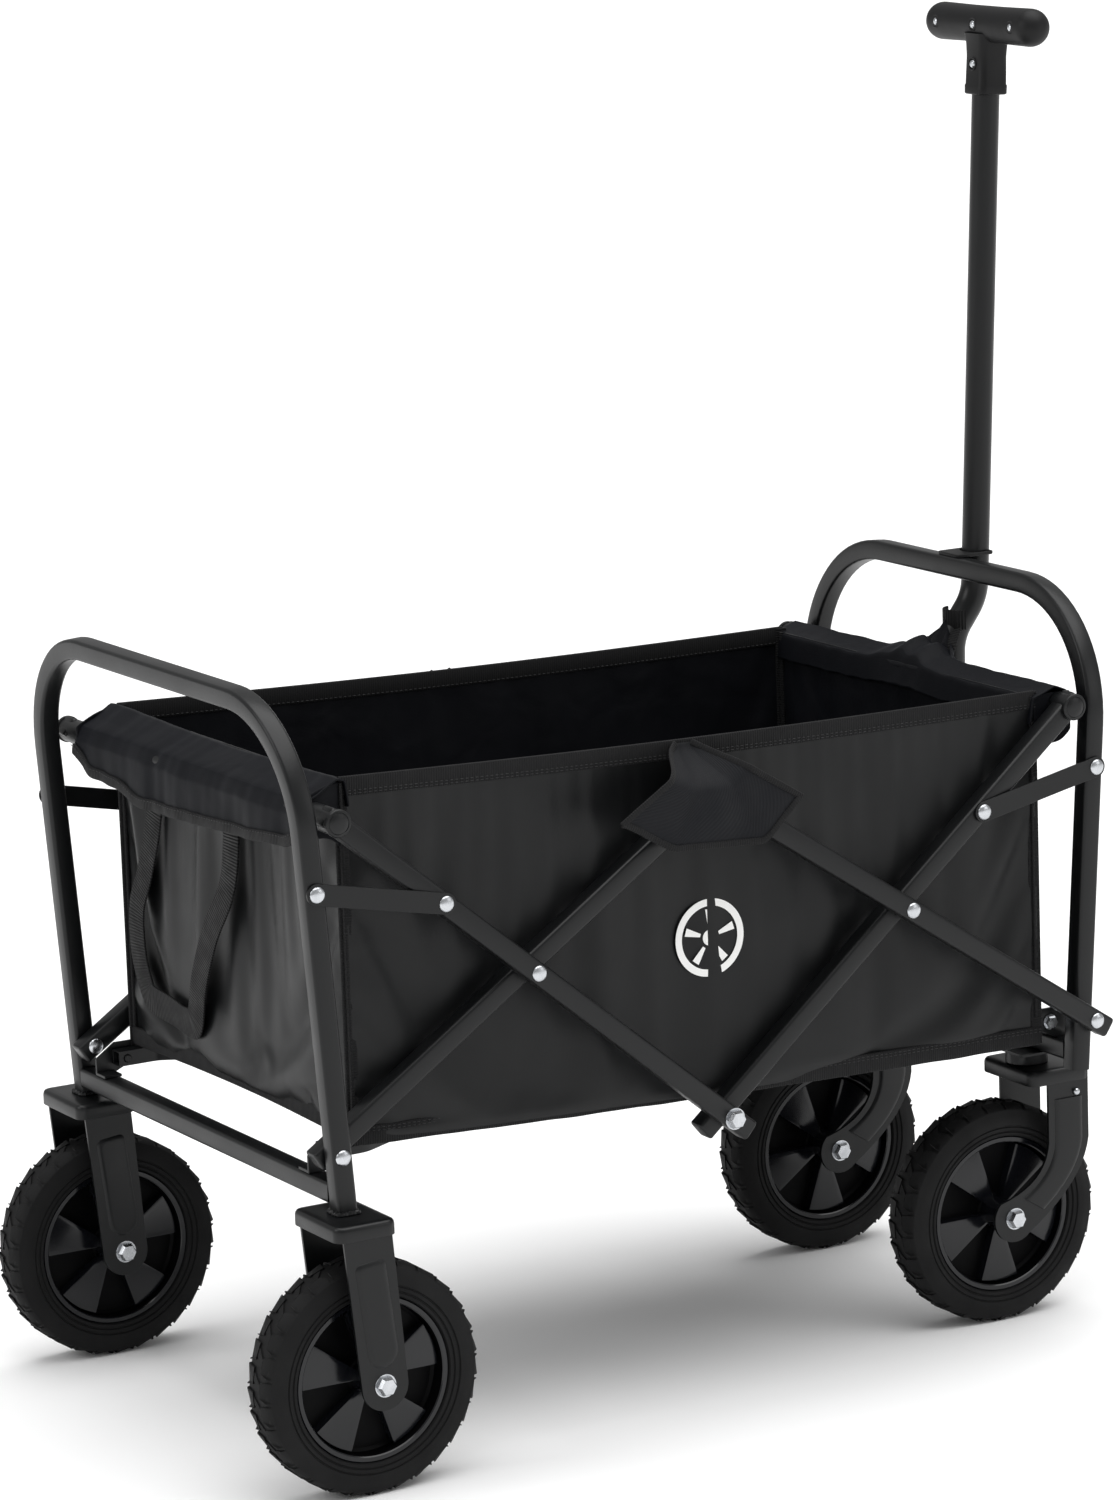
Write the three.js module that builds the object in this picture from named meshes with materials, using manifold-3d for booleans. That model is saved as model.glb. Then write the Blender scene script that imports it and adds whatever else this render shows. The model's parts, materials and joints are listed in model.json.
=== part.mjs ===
// Folding utility wagon with a pull handle.
// Millimetres, +X towards the pull handle, +Z up. The scissor's middle is at X = 0 while the
// pieces are made, and the last lines move the whole wagon over the middle of its footprint.

import * as THREE from "three";
import { mergeVertices } from "three/addons/utils/BufferGeometryUtils.js";
import Module from "manifold-3d";

const wasm = await Module();
wasm.setup();

// ---- Driving dimensions ----

const GAP = 0.3; // between two pieces that touch
const PLAY = 0.4; // between a pin and its hole, on the radius
const LATHE_STEPS = 28; // round a wheel
const PIN_SIDES = 8;
const SEAT = 1; // how far pieces that are joined into one run into each other

// Wheels and their forks
const WHEEL_RADIUS = 88;
const TREAD_WIDTH = 38;
const SHOULDER_HEIGHT = 4;
const SHOULDER_WIDTH = 7;
const SIDEWALL_INSET = 2; // at the shoulder
const SIDEWALL_FOOT = 12; // where the sidewall is widest, above the rim
const BEAD_HEIGHT = 4;
const BEAD_INSET = 3;
const TYRE_HEIGHT = 25.5;
const RIM_RADIUS = WHEEL_RADIUS - TYRE_HEIGHT;
const RIM_WIDTH = 32;
const RIM_WALL = 4.5;
const BOSS_RADIUS = 13;
const BOSS_PLAY = 2; // between a hub's boss and a fork plate
const BLADES = 5;
const BLADE_WIDTH = 22;
const WEB_WIDTH = 4;
const AXLE_RADIUS = 4;
const AXLE_HEAD_RADIUS = 7.5;
const AXLE_HEAD_HEIGHT = 5.5;
const FORK_PLATE = 2.6;
const FORK_ROOM = 13; // between the tread's side and a fork plate
const FORK_END_RADIUS = 19;
const FORK_TOP_WIDTH = 40;
const REAR_RIB_WIDTH = 18;
const FRONT_RIB_WIDTH = 16;
const RIB_PROUD = 1.2;
const RIB_INSET = 34; // from the cap's top and from the axle to the rib's ends
const WHEEL_TO_CAP = 27.2; // from the top of the tread up to the underside of a fork cap
const CAP_HEIGHT = 8.5;
const CAP_LENGTH = 50;
const CAP_LIP = 3.5; // below the cap's own height
const CAP_WALL = 2.4;
const CAP_TOP = 3;
const CAP_CORNER = 6;
const CAP_OVERHANG = 1.2; // outside the fork plates
const REAR_AXLE_RAKE = 10; // the rear axle ahead of the rear legs
const CASTER_TRAIL = 37;
const CASTER_REACH = 14.5; // the front fork's top ahead of its swivel
const CASTER_BACK = 20; // the front fork's cap behind its swivel
const KNEE_RISE = 56; // above the front axle, where the front fork starts to curve
const CASTER_END_FROM = 0.745; // of half a turn, where the curved legs meet the fork's round end
const SWIVEL_HEIGHT = 14.5; // from the front fork's cap up to the front crossbar
const SWIVEL_LENGTH = 48;
const SWIVEL_WIDTH = 60;
const SWIVEL_PLATE = 2.6;
const RACE_RADIUS = 17;
const KINGPIN_RADIUS = 6;

// Frames
const TUBE = 16;
const TUBE_WALL = 1.2;
const LAYER_GAP = 1.6; // between the inner and the outer layer of square tubes
const INNER_LAYER = 197; // the wagon's middle to the middle of the inner layer
const LEG_SPAN = 664.6; // rear legs to front legs, at the lower pivots
const LEG_LEAN = 0.068; // outwards, per mm of height
const FRAME_HEIGHT = 378.3; // from the fork caps to the frames' top
const REAR_CORNER = 90;
const FRONT_CORNER = 98;
const CROSSBAR_RISE = 14.6; // the crossbars' middle above the fork caps

// Scissor, heights above the fork caps
const PIVOT_RISE = 43.3;
const CENTRE_TOP_RISE = 0.7 * FRAME_HEIGHT;
const CENTRE_BOTTOM_RISE = 18.7;
const CROSSING_SHARE = 0.247; // of the leg span, from the middle
const CROSS_TUBE_RADIUS = 9.5;
const CROSS_TUBE_INSET = TUBE - 9.8; // the round cross tubes inside the lower pivots, along X
const BRACE_TAIL = 18; // past the centre bottom bolt
const PIVOT_TAIL = 13; // past the other pivots
const CROSS_TUBE_TAIL = 11; // past the cross tubes, clear of the legs
const REAR_LOWER_TAIL = 10; // past the rear legs' pivot, clear of the floor brackets
const LINK_RISE = 0.636 * FRAME_HEIGHT;
const LINK_ALONG = 0.15 * LEG_SPAN; // from the crossing to the link's rivet, along the upper brace
const LINK_WIDTH = 16;
const LINK_THICKNESS = 2.2;
const PIN_RADIUS = 3;
const RIVET_HEAD = 6.2;
const RIVET_DOME = 2;
const INNER_HEAD = 1.5;
const INNER_HEAD_RADIUS = 5.2;
const BOLT_HEAD = 6;
const NUT_HEIGHT = 3.5;

// Floor arms and hub
const ARM = 12;
const ARM_RISE = 36.3;
const ARM_PIVOT_INSET = 14.5; // arm pivots inside the legs' middle
const ARM_BRACKET_Y = INNER_LAYER - 27;
const REAR_ARM_HUB_Y = 36;
const FRONT_ARM_HUB_Y = 62;
const HUB_HALF_LENGTH = 14;
const BRACKET_PLATE = 2.5;
const ARM_STRAIGHT = 28;
const ARM_TAIL = 7; // past a pin
const ARM_BEND = 20;
const HUB_HALF_WIDTH = 24;
const HUB_THICKNESS = 10;
const BRACKET_FOOT = 14; // inwards from the ear
const EAR_RISE = 11; // above the arm's pin
const EAR_AHEAD = 5; // past the arm's pin towards the leg
const EAR_BEHIND = 10;

// Fabric
const CLOTH = 2.4;
const SIDE_PANEL_Y = INNER_LAYER - 14; // outside of the side panels
const TUB_REAR_X = 29.3 - LEG_SPAN / 2;
const TUB_FRONT_X = LEG_SPAN / 2 - 27.3;
const RIM_RISE = 0.815 * FRAME_HEIGHT;
const RIM_SLOPE = 12; // the rim is lower at the front by this
const HEM_RISE = 38.5;
const HEM_SLOPE = 14;
const BOARD = 5;
const FLAP_DROP = 24;
const GUSSET_HALF = 84;
const GUSSET_DROP = 76;
const GUSSET_SHOULDER = 0.34; // of the drop, where the fan is widest
const GUSSET_FOOT = 0.55; // of the half length, at the bottom edge
const GUSSET_HEAD = 0.3; // of the half length, at the rim
const FLAP_CLOTH = 1.6;
const FLAP_END_GAP = 4; // between a flap's ends and the legs
const FRONT_FLAP_DROP = 14;
const FRONT_FLAP_RISE = 3; // the front flap's inner edge above the side panels' front corner
const PANEL_FOOT = 2; // the end panels' bottom edge above the floor arms
const BOARD_MIDDLE = 2; // from the hinge line to a board
const POCKET_DEPTH = 11;
const POCKET_DROP = 116.3; // the pocket's top below the rim
const POCKET_HALF = SIDE_PANEL_Y - 11;

// Pull handle
const HANDLE_RADIUS = 11;
const HANDLE_PIVOT_AHEAD = 15.5; // ahead of the front crossbar's middle
const HANDLE_PIVOT_RISE = 39;
const NECK_DROP = 64; // the lower bend below the frame's top
const NECK_AHEAD = 23;
const HANDLE_LENGTH = 366; // above the front frame's top
const HANDLE_LEAN = 0.05;
const GRIP_RADIUS = 15;
const GRIP_LENGTH = 150;
const GRIP_SEAT = 6; // how deep the grip's bar sits on its socket
const SOCKET_LENGTH = 46;
const SOCKET_SIZE = 27;
const SOCKET_ROOM = 22; // how deep the tube goes into the socket
const TUBE_INTO_GRIP = 20;
const HANDLE_WALL = 1.5;
const HANDLE_BEND = 40;
const HANDLE_PLAY = 1.2; // between the handle and the top bar
const NECK_TOP_DROP = 34; // the upper bend below the frame's top
const CLIP_THICKNESS = 3;
const CLIP_WALL = 3;
const CLIP_AHEAD = 8; // past the handle's middle
const EAR_RADIUS = 8; // of the handle's bracket
const HANDLE_FOOT = 10; // below the pivot
const HANDLE_CUT = 20; // half the length of the tool that drills the handle

// ---- Derived places ----

const DECK = 2 * WHEEL_RADIUS + WHEEL_TO_CAP + CAP_HEIGHT; // top of the rear fork caps
const HALF = TUBE / 2;
const OUTER_LAYER = INNER_LAYER + TUBE + LAYER_GAP;
const REAR_WHEEL_Y = OUTER_LAYER;
const FRONT_WHEEL_Y = INNER_LAYER - 70;
const CROSSING_X = CROSSING_SHARE * LEG_SPAN;
const FORK_HALF = TREAD_WIDTH / 2 + FORK_ROOM + FORK_PLATE;
const PIVOT_Z = DECK + PIVOT_RISE;
const PIVOT_X = LEG_SPAN / 2;
const FRAME_TOP = DECK + FRAME_HEIGHT;
const CROSSBAR_Z = DECK + CROSSBAR_RISE;
const CENTRE_TOP = new THREE.Vector2(0, DECK + CENTRE_TOP_RISE);
const CENTRE_BOTTOM = new THREE.Vector2(0, DECK + CENTRE_BOTTOM_RISE);
const LOWER_PIVOT = new THREE.Vector2(-PIVOT_X, PIVOT_Z);
const CROSSING = new THREE.Vector2(-CROSSING_X, heightOn(LOWER_PIVOT, CENTRE_TOP, -CROSSING_X));
const CROSS_TUBE_X = -(PIVOT_X - CROSS_TUBE_INSET);
const CROSS_TUBE = new THREE.Vector2(CROSS_TUBE_X, heightOn(CROSSING, CENTRE_BOTTOM, CROSS_TUBE_X));
const UPPER_DIRECTION = CROSS_TUBE.clone().sub(CENTRE_BOTTOM).normalize();
const LINK_ON_BRACE = CROSSING.clone().addScaledVector(UPPER_DIRECTION, LINK_ALONG);
const LINK_ON_LEG = new THREE.Vector2(-legX(DECK + LINK_RISE), DECK + LINK_RISE);
const CROSSBAR_X = legX(CROSSBAR_Z);
const REAR_AXLE_X = -legX(DECK) + REAR_AXLE_RAKE;
const ARM_Z = DECK + ARM_RISE;
const ARM_PIVOT_X = legX(ARM_Z) - ARM_PIVOT_INSET;
const SWIVEL_TOP = CROSSBAR_Z - HALF - GAP;
const CASTER_CAP = SWIVEL_TOP - SWIVEL_HEIGHT;
const HANDLE_PIVOT = new THREE.Vector2(CROSSBAR_X + HANDLE_PIVOT_AHEAD, DECK + HANDLE_PIVOT_RISE);
const RIM_Z = DECK + RIM_RISE;
const HEM_Z = DECK + HEM_RISE;

// ---- Finishes ----

const finishes = {
  frame: new THREE.MeshStandardMaterial({ color: 0x1b1c1e, roughness: 0.45, metalness: 0.3 }),
  zinc: new THREE.MeshStandardMaterial({ color: 0xc9ccd0, roughness: 0.3, metalness: 1 }),
  rubber: new THREE.MeshStandardMaterial({ color: 0x161616, roughness: 0.85, metalness: 0 }),
  hub: new THREE.MeshStandardMaterial({ color: 0x101113, roughness: 0.2, metalness: 0 }),
  grip: new THREE.MeshStandardMaterial({ color: 0x1a1a1b, roughness: 0.6, metalness: 0 }),
  fabric: new THREE.MeshStandardMaterial({ color: 0x141518, roughness: 0.7, metalness: 0 }),
  webbing: new THREE.MeshStandardMaterial({ color: 0x0c0c0d, roughness: 0.9, metalness: 0 }),
};

// ---- Geometry helpers ----

/** Height at x of the line through two points of the side view. */
function heightOn(a, b, x) {
  return a.y + ((b.y - a.y) * (x - a.x)) / (b.x - a.x);
}

/** Distance of a leg's middle from the scissor's middle, at a height. */
function legX(z) {
  return PIVOT_X + LEG_LEAN * (z - PIVOT_Z);
}

/** A geometry as a closed solid that can be joined and cut. */
function solidOf(geometry) {
  const bare = geometry.clone();
  bare.deleteAttribute("normal");
  bare.deleteAttribute("uv");
  const merged = mergeVertices(bare, 1e-3);
  const mesh = new wasm.Mesh({
    numProp: 3,
    vertProperties: merged.attributes.position.array,
    triVerts: new Uint32Array(merged.index.array),
  });
  return new wasm.Manifold(mesh);
}

/** A joined or cut solid as a flat-shaded geometry. */
function geometryOf(solid) {
  const mesh = solid.getMesh();
  const geometry = new THREE.BufferGeometry();
  geometry.setAttribute("position", new THREE.BufferAttribute(mesh.vertProperties, 3));
  geometry.setIndex(new THREE.BufferAttribute(mesh.triVerts, 1));
  const flat = geometry.toNonIndexed();
  flat.computeVertexNormals();
  return flat;
}

/** Geometries joined into one. */
function join(...geometries) {
  return geometryOf(geometries.map(solidOf).reduce((sum, next) => sum.add(next)));
}

/** A geometry with others cut out of it. */
function cut(geometry, ...tools) {
  return geometryOf(tools.map(solidOf).reduce((rest, tool) => rest.subtract(tool), solidOf(geometry)));
}

/** A box between two corners. */
function block(x0, x1, y0, y1, z0, z1) {
  const box = new THREE.BoxGeometry(Math.abs(x1 - x0), Math.abs(y1 - y0), Math.abs(z1 - z0));
  return box.translate((x0 + x1) / 2, (y0 + y1) / 2, (z0 + z1) / 2);
}

/** A round or many-sided bar along Y, at a point of the side view. */
function rodY(radius, at, y0, y1, sides = PIN_SIDES) {
  const rod = new THREE.CylinderGeometry(radius, radius, Math.abs(y1 - y0), sides);
  return rod.translate(at.x, (y0 + y1) / 2, at.y);
}

/** A round bar along Z. */
function rodZ(radius, x, y, z0, z1, sides = 20) {
  const rod = new THREE.CylinderGeometry(radius, radius, Math.abs(z1 - z0), sides);
  return rod.rotateX(Math.PI / 2).translate(x, y, (z0 + z1) / 2);
}

/** An outline of the side view given thickness along Y. */
function plateXZ(shape, y0, y1, curveSegments = 4) {
  const low = Math.min(y0, y1);
  const high = Math.max(y0, y1);
  const plate = new THREE.ExtrudeGeometry(shape, { depth: high - low, bevelEnabled: false, curveSegments });
  return plate.rotateX(Math.PI / 2).translate(0, high, 0);
}

/** An outline of the plan view given thickness along Z. */
function plateXY(shape, z0, z1, curveSegments = 2) {
  const plate = new THREE.ExtrudeGeometry(shape, { depth: z1 - z0, bevelEnabled: false, curveSegments });
  return plate.translate(0, 0, z0);
}

/** A closed outline through points. */
function outline(...points) {
  return new THREE.Shape(points.map(([x, y]) => new THREE.Vector2(x, y)));
}

/** A rectangle with round corners. */
function roundRectangle(x0, x1, y0, y1, r) {
  const shape = new THREE.Shape();
  shape.absarc(x1 - r, y0 + r, r, -Math.PI / 2, 0, false);
  shape.absarc(x1 - r, y1 - r, r, 0, Math.PI / 2, false);
  shape.absarc(x0 + r, y1 - r, r, Math.PI / 2, Math.PI, false);
  shape.absarc(x0 + r, y0 + r, r, Math.PI, 1.5 * Math.PI, false);
  shape.closePath();
  return shape;
}

/** A bar outline with round ends, between two points. */
function slotOutline(a, b, width, r = width / 2) {
  const angle = Math.atan2(b.y - a.y, b.x - a.x);
  const shape = new THREE.Shape();
  shape.absarc(b.x, b.y, r, angle - Math.PI / 2, angle + Math.PI / 2, false);
  shape.absarc(a.x, a.y, r, angle + Math.PI / 2, angle + 1.5 * Math.PI, false);
  shape.closePath();
  return shape;
}

/** A path of straight runs joined by arcs, with one station at each end of a run. */
class BentPath extends THREE.Curve {
  constructor(corners, radius, arcSteps = 7) {
    super();
    this.stations = [corners[0]];
    this.directions = [corners[1].clone().sub(corners[0]).normalize()];
    for (let i = 1; i < corners.length - 1; i += 1) {
      const into = corners[i].clone().sub(corners[i - 1]).normalize();
      const out = corners[i + 1].clone().sub(corners[i]).normalize();
      const turn = into.angleTo(out);
      const start = corners[i].clone().addScaledVector(into, -radius * Math.tan(turn / 2));
      const side = out.clone().addScaledVector(into, -out.dot(into)).normalize();
      for (let step = 0; step <= arcSteps; step += 1) {
        const angle = (turn * step) / arcSteps;
        const station = start.clone().addScaledVector(into, radius * Math.sin(angle));
        station.addScaledVector(side, radius * (1 - Math.cos(angle)));
        const direction = into.clone().multiplyScalar(Math.cos(angle));
        this.stations.push(station);
        this.directions.push(direction.addScaledVector(side, Math.sin(angle)));
      }
    }
    this.stations.push(corners.at(-1));
    this.directions.push(corners.at(-1).clone().sub(corners.at(-2)).normalize());
  }

  get steps() {
    return this.stations.length - 1;
  }

  getPointAt(share) {
    return this.stations[Math.round(share * this.steps)].clone();
  }

  getTangentAt(share) {
    return this.directions[Math.round(share * this.steps)].clone();
  }
}

/** Square tube section, open inside. */
function squareSection(size, wall) {
  const ring = (half) => [[-half, -half], [half, -half], [half, half], [-half, half]];
  const shape = outline(...ring(size / 2));
  shape.holes.push(outline(...ring(size / 2 - wall).reverse()));
  return shape;
}

/** Round tube section, open inside. */
function roundSection(radius, wall) {
  const shape = new THREE.Shape();
  shape.absarc(0, 0, radius, 0, 2 * Math.PI, false);
  const hole = new THREE.Path();
  hole.absarc(0, 0, radius - wall, 0, 2 * Math.PI, true);
  shape.holes.push(hole);
  return shape;
}

/** A section drawn along a bent path. */
function sweep(section, path, curveSegments = 1) {
  return new THREE.ExtrudeGeometry(section, { steps: path.steps, extrudePath: path, curveSegments });
}

const wagon = new THREE.Group();

/** Adds one named piece to the wagon. */
function add(name, geometry, finish) {
  const mesh = new THREE.Mesh(geometry, finishes[finish]);
  mesh.name = name;
  wagon.add(mesh);
}

const SIDES = [["right", -1], ["left", 1]];

/** The same point on the other half of the scissor. */
function mirrored(point) {
  return new THREE.Vector2(-point.x, point.y);
}

// ---- Wheels ----

/** Tyre, turned about Y, at the origin. */
function tyre() {
  const half = TREAD_WIDTH / 2;
  const bore = RIM_RADIUS + GAP;
  const profile = [
    [bore, BEAD_INSET - half],
    [bore + BEAD_HEIGHT, GAP - half],
    [bore + SIDEWALL_FOOT, -half],
    [WHEEL_RADIUS - SHOULDER_HEIGHT, SIDEWALL_INSET - half],
    [WHEEL_RADIUS, SHOULDER_WIDTH - half],
    [WHEEL_RADIUS, half - SHOULDER_WIDTH],
    [WHEEL_RADIUS - SHOULDER_HEIGHT, half - SIDEWALL_INSET],
    [bore + SIDEWALL_FOOT, half],
    [bore + BEAD_HEIGHT, half - GAP],
    [bore, half - BEAD_INSET],
    [bore, BEAD_INSET - half],
  ];
  return new THREE.LatheGeometry(profile.map(([r, y]) => new THREE.Vector2(r, y)), LATHE_STEPS);
}

/** Wheel hub: rim ring, closed web, boss and fan blades, at the origin, turned by a phase. */
function hub(phase) {
  const half = RIM_WIDTH / 2;
  const web = WEB_WIDTH / 2;
  const bossHalf = TREAD_WIDTH / 2 + FORK_ROOM - BOSS_PLAY;
  const bore = AXLE_RADIUS + PLAY;
  const inner = RIM_RADIUS - RIM_WALL;
  const profile = [
    [bore, -bossHalf], [BOSS_RADIUS, -bossHalf], [BOSS_RADIUS, -web], [inner, -web], [inner, -half],
    [RIM_RADIUS, -half], [RIM_RADIUS, half], [inner, half], [inner, web], [BOSS_RADIUS, web],
    [BOSS_RADIUS, bossHalf], [bore, bossHalf], [bore, -bossHalf],
  ];
  let made = new THREE.LatheGeometry(profile.map(([r, y]) => new THREE.Vector2(r, y)), LATHE_STEPS);
  const spread = Math.PI / BLADES / 2;
  for (let i = 0; i < BLADES; i += 1) {
    const middle = phase + (i * 2 * Math.PI) / BLADES;
    const fan = new THREE.Shape();
    fan.absarc(0, 0, inner + SEAT, middle - spread, middle + spread, false);
    fan.absarc(0, 0, BOSS_RADIUS - SEAT, middle + spread, middle - spread, true);
    fan.closePath();
    made = join(made, plateXZ(fan, -BLADE_WIDTH / 2, BLADE_WIDTH / 2));
  }
  return made;
}

/** Axle bolt with its head on the outside and its nut on the inside of a fork. */
function axle(side) {
  const outside = FORK_HALF + GAP;
  const at = new THREE.Vector2(0, 0);
  return join(
    rodY(AXLE_RADIUS, at, -outside - SEAT, outside + SEAT),
    rodY(AXLE_HEAD_RADIUS, at, side * outside, side * (outside + AXLE_HEAD_HEIGHT), 6),
    rodY(AXLE_HEAD_RADIUS, at, -side * outside, -side * (outside + AXLE_HEAD_HEIGHT), 6),
  );
}

/** Tyre, hub and axle bolt of one wheel. */
function addWheel(name, x, y, side, phase) {
  add(`${name}_tyre`, tyre().translate(x, y, WHEEL_RADIUS), "rubber");
  add(`${name}_hub`, hub(phase).translate(x, y, WHEEL_RADIUS), "hub");
  add(`${name}_axle_bolt`, axle(side).translate(x, y, WHEEL_RADIUS), "zinc");
}

// ---- Forks ----

/** The two side plates of a fork, from one outline, drilled for the axle. */
function forkPlates(shape, rib, axleX, y) {
  const inside = FORK_HALF - FORK_PLATE;
  const axleAt = new THREE.Vector2(axleX, WHEEL_RADIUS);
  const hole = rodY(AXLE_RADIUS + PLAY, axleAt, y - 2 * FORK_HALF, y + 2 * FORK_HALF);
  return [-1, 1].map((face) => {
    const plate = plateXZ(shape, y + face * inside, y + face * FORK_HALF);
    const proud = plateXZ(rib, y + face * (FORK_HALF - SEAT), y + face * (FORK_HALF + RIB_PROUD));
    return cut(join(plate, proud), hole);
  });
}

/** Pressed cap of a fork: a tray turned upside down. */
function forkCap(x0, x1, y, top) {
  const half = FORK_HALF + CAP_OVERHANG;
  const inner = half - CAP_WALL;
  const low = top - CAP_HEIGHT - CAP_LIP;
  const outside = plateXY(roundRectangle(x0, x1, y - half, y + half, CAP_CORNER), low, top);
  const corner = CAP_CORNER - CAP_WALL;
  const room = roundRectangle(x0 + CAP_WALL, x1 - CAP_WALL, y - inner, y + inner, corner);
  return cut(outside, plateXY(room, low - SEAT, top - CAP_TOP));
}

/** Rear fork, fixed under a rear leg. */
function rearFork(y) {
  const middle = -legX(DECK);
  const top = DECK - CAP_TOP + SEAT;
  const half = FORK_TOP_WIDTH / 2;
  const shape = new THREE.Shape();
  shape.moveTo(middle - half, top);
  shape.lineTo(REAR_AXLE_X - FORK_END_RADIUS, WHEEL_RADIUS);
  shape.absarc(REAR_AXLE_X, WHEEL_RADIUS, FORK_END_RADIUS, Math.PI, 2 * Math.PI, false);
  shape.lineTo(middle + half, top);
  shape.closePath();
  const ribTop = new THREE.Vector2(middle, top - RIB_INSET);
  const ribEnd = new THREE.Vector2(REAR_AXLE_X, WHEEL_RADIUS + RIB_INSET);
  const plates = forkPlates(shape, slotOutline(ribTop, ribEnd, REAR_RIB_WIDTH), REAR_AXLE_X, y);
  return join(forkCap(middle - CAP_LENGTH / 2, middle + CAP_LENGTH / 2, y, DECK), ...plates);
}

/** Front fork: straight down from its cap, then curved back to the trailing axle. */
function casterFork(y) {
  const swivelX = CROSSBAR_X;
  const axleX = swivelX - CASTER_TRAIL;
  const front = swivelX + CASTER_REACH + FORK_TOP_WIDTH / 2;
  const back = front - FORK_TOP_WIDTH + 2 * SEAT;
  const top = CASTER_CAP - CAP_TOP + SEAT;
  const knee = WHEEL_RADIUS + KNEE_RISE;
  const sideways = FORK_END_RADIUS * Math.cos(CASTER_END_FROM * Math.PI);
  const upwards = FORK_END_RADIUS * Math.sin(CASTER_END_FROM * Math.PI);
  const endAngle = CASTER_END_FROM * Math.PI;
  const shape = new THREE.Shape();
  shape.moveTo(back, top);
  shape.lineTo(back, knee);
  shape.quadraticCurveTo(back, (knee + WHEEL_RADIUS) / 2, axleX + sideways, WHEEL_RADIUS + upwards);
  shape.absarc(axleX, WHEEL_RADIUS, FORK_END_RADIUS, endAngle, endAngle + Math.PI, false);
  shape.quadraticCurveTo(front, WHEEL_RADIUS + upwards, front, knee);
  shape.lineTo(front, top);
  shape.closePath();
  const ribTop = new THREE.Vector2((front + back) / 2, top - RIB_INSET);
  const ribEnd = new THREE.Vector2((front + back) / 2, knee);
  const plates = forkPlates(shape, slotOutline(ribTop, ribEnd, FRONT_RIB_WIDTH), axleX, y);
  const cap = forkCap(swivelX - CASTER_BACK, front + CAP_WALL, y, CASTER_CAP);
  const kingpin = rodZ(KINGPIN_RADIUS, swivelX, y, CASTER_CAP - SEAT, SWIVEL_TOP - SWIVEL_PLATE - SEAT);
  return join(cap, kingpin, ...plates);
}

/** Swivel plate under the front crossbar, with its ball race. */
function swivelPlate(y) {
  const x = CROSSBAR_X;
  const long = SWIVEL_LENGTH / 2;
  const wide = SWIVEL_WIDTH / 2;
  const low = SWIVEL_TOP - SWIVEL_PLATE;
  const plate = plateXY(roundRectangle(x - long, x + long, y - wide, y + wide, CAP_CORNER), low, SWIVEL_TOP);
  const race = rodZ(RACE_RADIUS, x, y, CASTER_CAP + GAP, SWIVEL_TOP - SEAT, 24);
  const room = rodZ(KINGPIN_RADIUS + PLAY, x, y, CASTER_CAP - SEAT, low - SEAT + PLAY);
  return cut(join(plate, race), room);
}

// ---- Frames ----

/** Middle line of an end frame, up one leg, across the top and down the other. */
function frameLine(end, layer, corner) {
  const bottom = DECK + GAP + LEG_LEAN * HALF;
  const top = FRAME_TOP - HALF;
  const at = (z, y) => new THREE.Vector3(end * legX(z), y, z);
  const points = [at(bottom, -layer), at(top, -layer), at(top, layer), at(bottom, layer)];
  return new BentPath(points, corner, 6);
}

/** A rivet along Y: outer dome head, pin and inner head, on one side of the wagon. */
function rivet(at, side, outer, inner) {
  return join(
    rodY(PIN_RADIUS, at, side * outer, side * inner),
    rodY(RIVET_HEAD, at, side * outer, side * (outer + RIVET_DOME)),
    rodY(INNER_HEAD_RADIUS, at, side * inner, side * (inner - INNER_HEAD)),
  );
}

/** A hole along Y for a pin that turns in it. */
function pinHole(at, side, layer) {
  return rodY(PIN_RADIUS + PLAY, at, side * (layer - TUBE), side * (layer + TUBE));
}

const INNER_FACE = INNER_LAYER - HALF; // side of the inner layer that faces the cargo
const OUTER_FACE = OUTER_LAYER + HALF; // side of the outer layer that faces away
const FRONT_FACE = INNER_LAYER + HALF; // side of the front legs that faces away

/** Rear frame with the rivets that carry the lower braces and the links. */
function rearFrame() {
  let frame = sweep(squareSection(TUBE, TUBE_WALL), frameLine(-1, OUTER_LAYER, REAR_CORNER));
  for (const [, side] of SIDES) {
    const pivot = rivet(LOWER_PIVOT, side, OUTER_FACE, INNER_FACE - GAP);
    const linkPin = rivet(LINK_ON_LEG, side, OUTER_FACE + LINK_THICKNESS + 2 * GAP, OUTER_LAYER);
    frame = join(frame, pivot, linkPin);
  }
  return frame;
}

/** Front frame, drilled for the lower braces' pins, with its link rivets. */
function frontFrame() {
  let frame = sweep(squareSection(TUBE, TUBE_WALL), frameLine(1, INNER_LAYER, FRONT_CORNER));
  const linkFace = FRONT_FACE + LINK_THICKNESS + 2 * GAP;
  for (const [, side] of SIDES) {
    frame = cut(frame, pinHole(mirrored(LOWER_PIVOT), side, INNER_LAYER));
    frame = join(frame, rivet(mirrored(LINK_ON_LEG), side, linkFace, INNER_LAYER));
  }
  return frame;
}

/** Square crossbar between the feet of two legs. */
function crossbar(end, layer) {
  const reach = layer - HALF - GAP;
  const x = end * CROSSBAR_X;
  const y = new THREE.Vector3(0, 1, 0);
  const from = new THREE.Vector3(x, -reach, CROSSBAR_Z);
  const path = new BentPath([from, from.clone().addScaledVector(y, 2 * reach)], 1);
  return sweep(squareSection(TUBE, TUBE_WALL), path);
}

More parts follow.
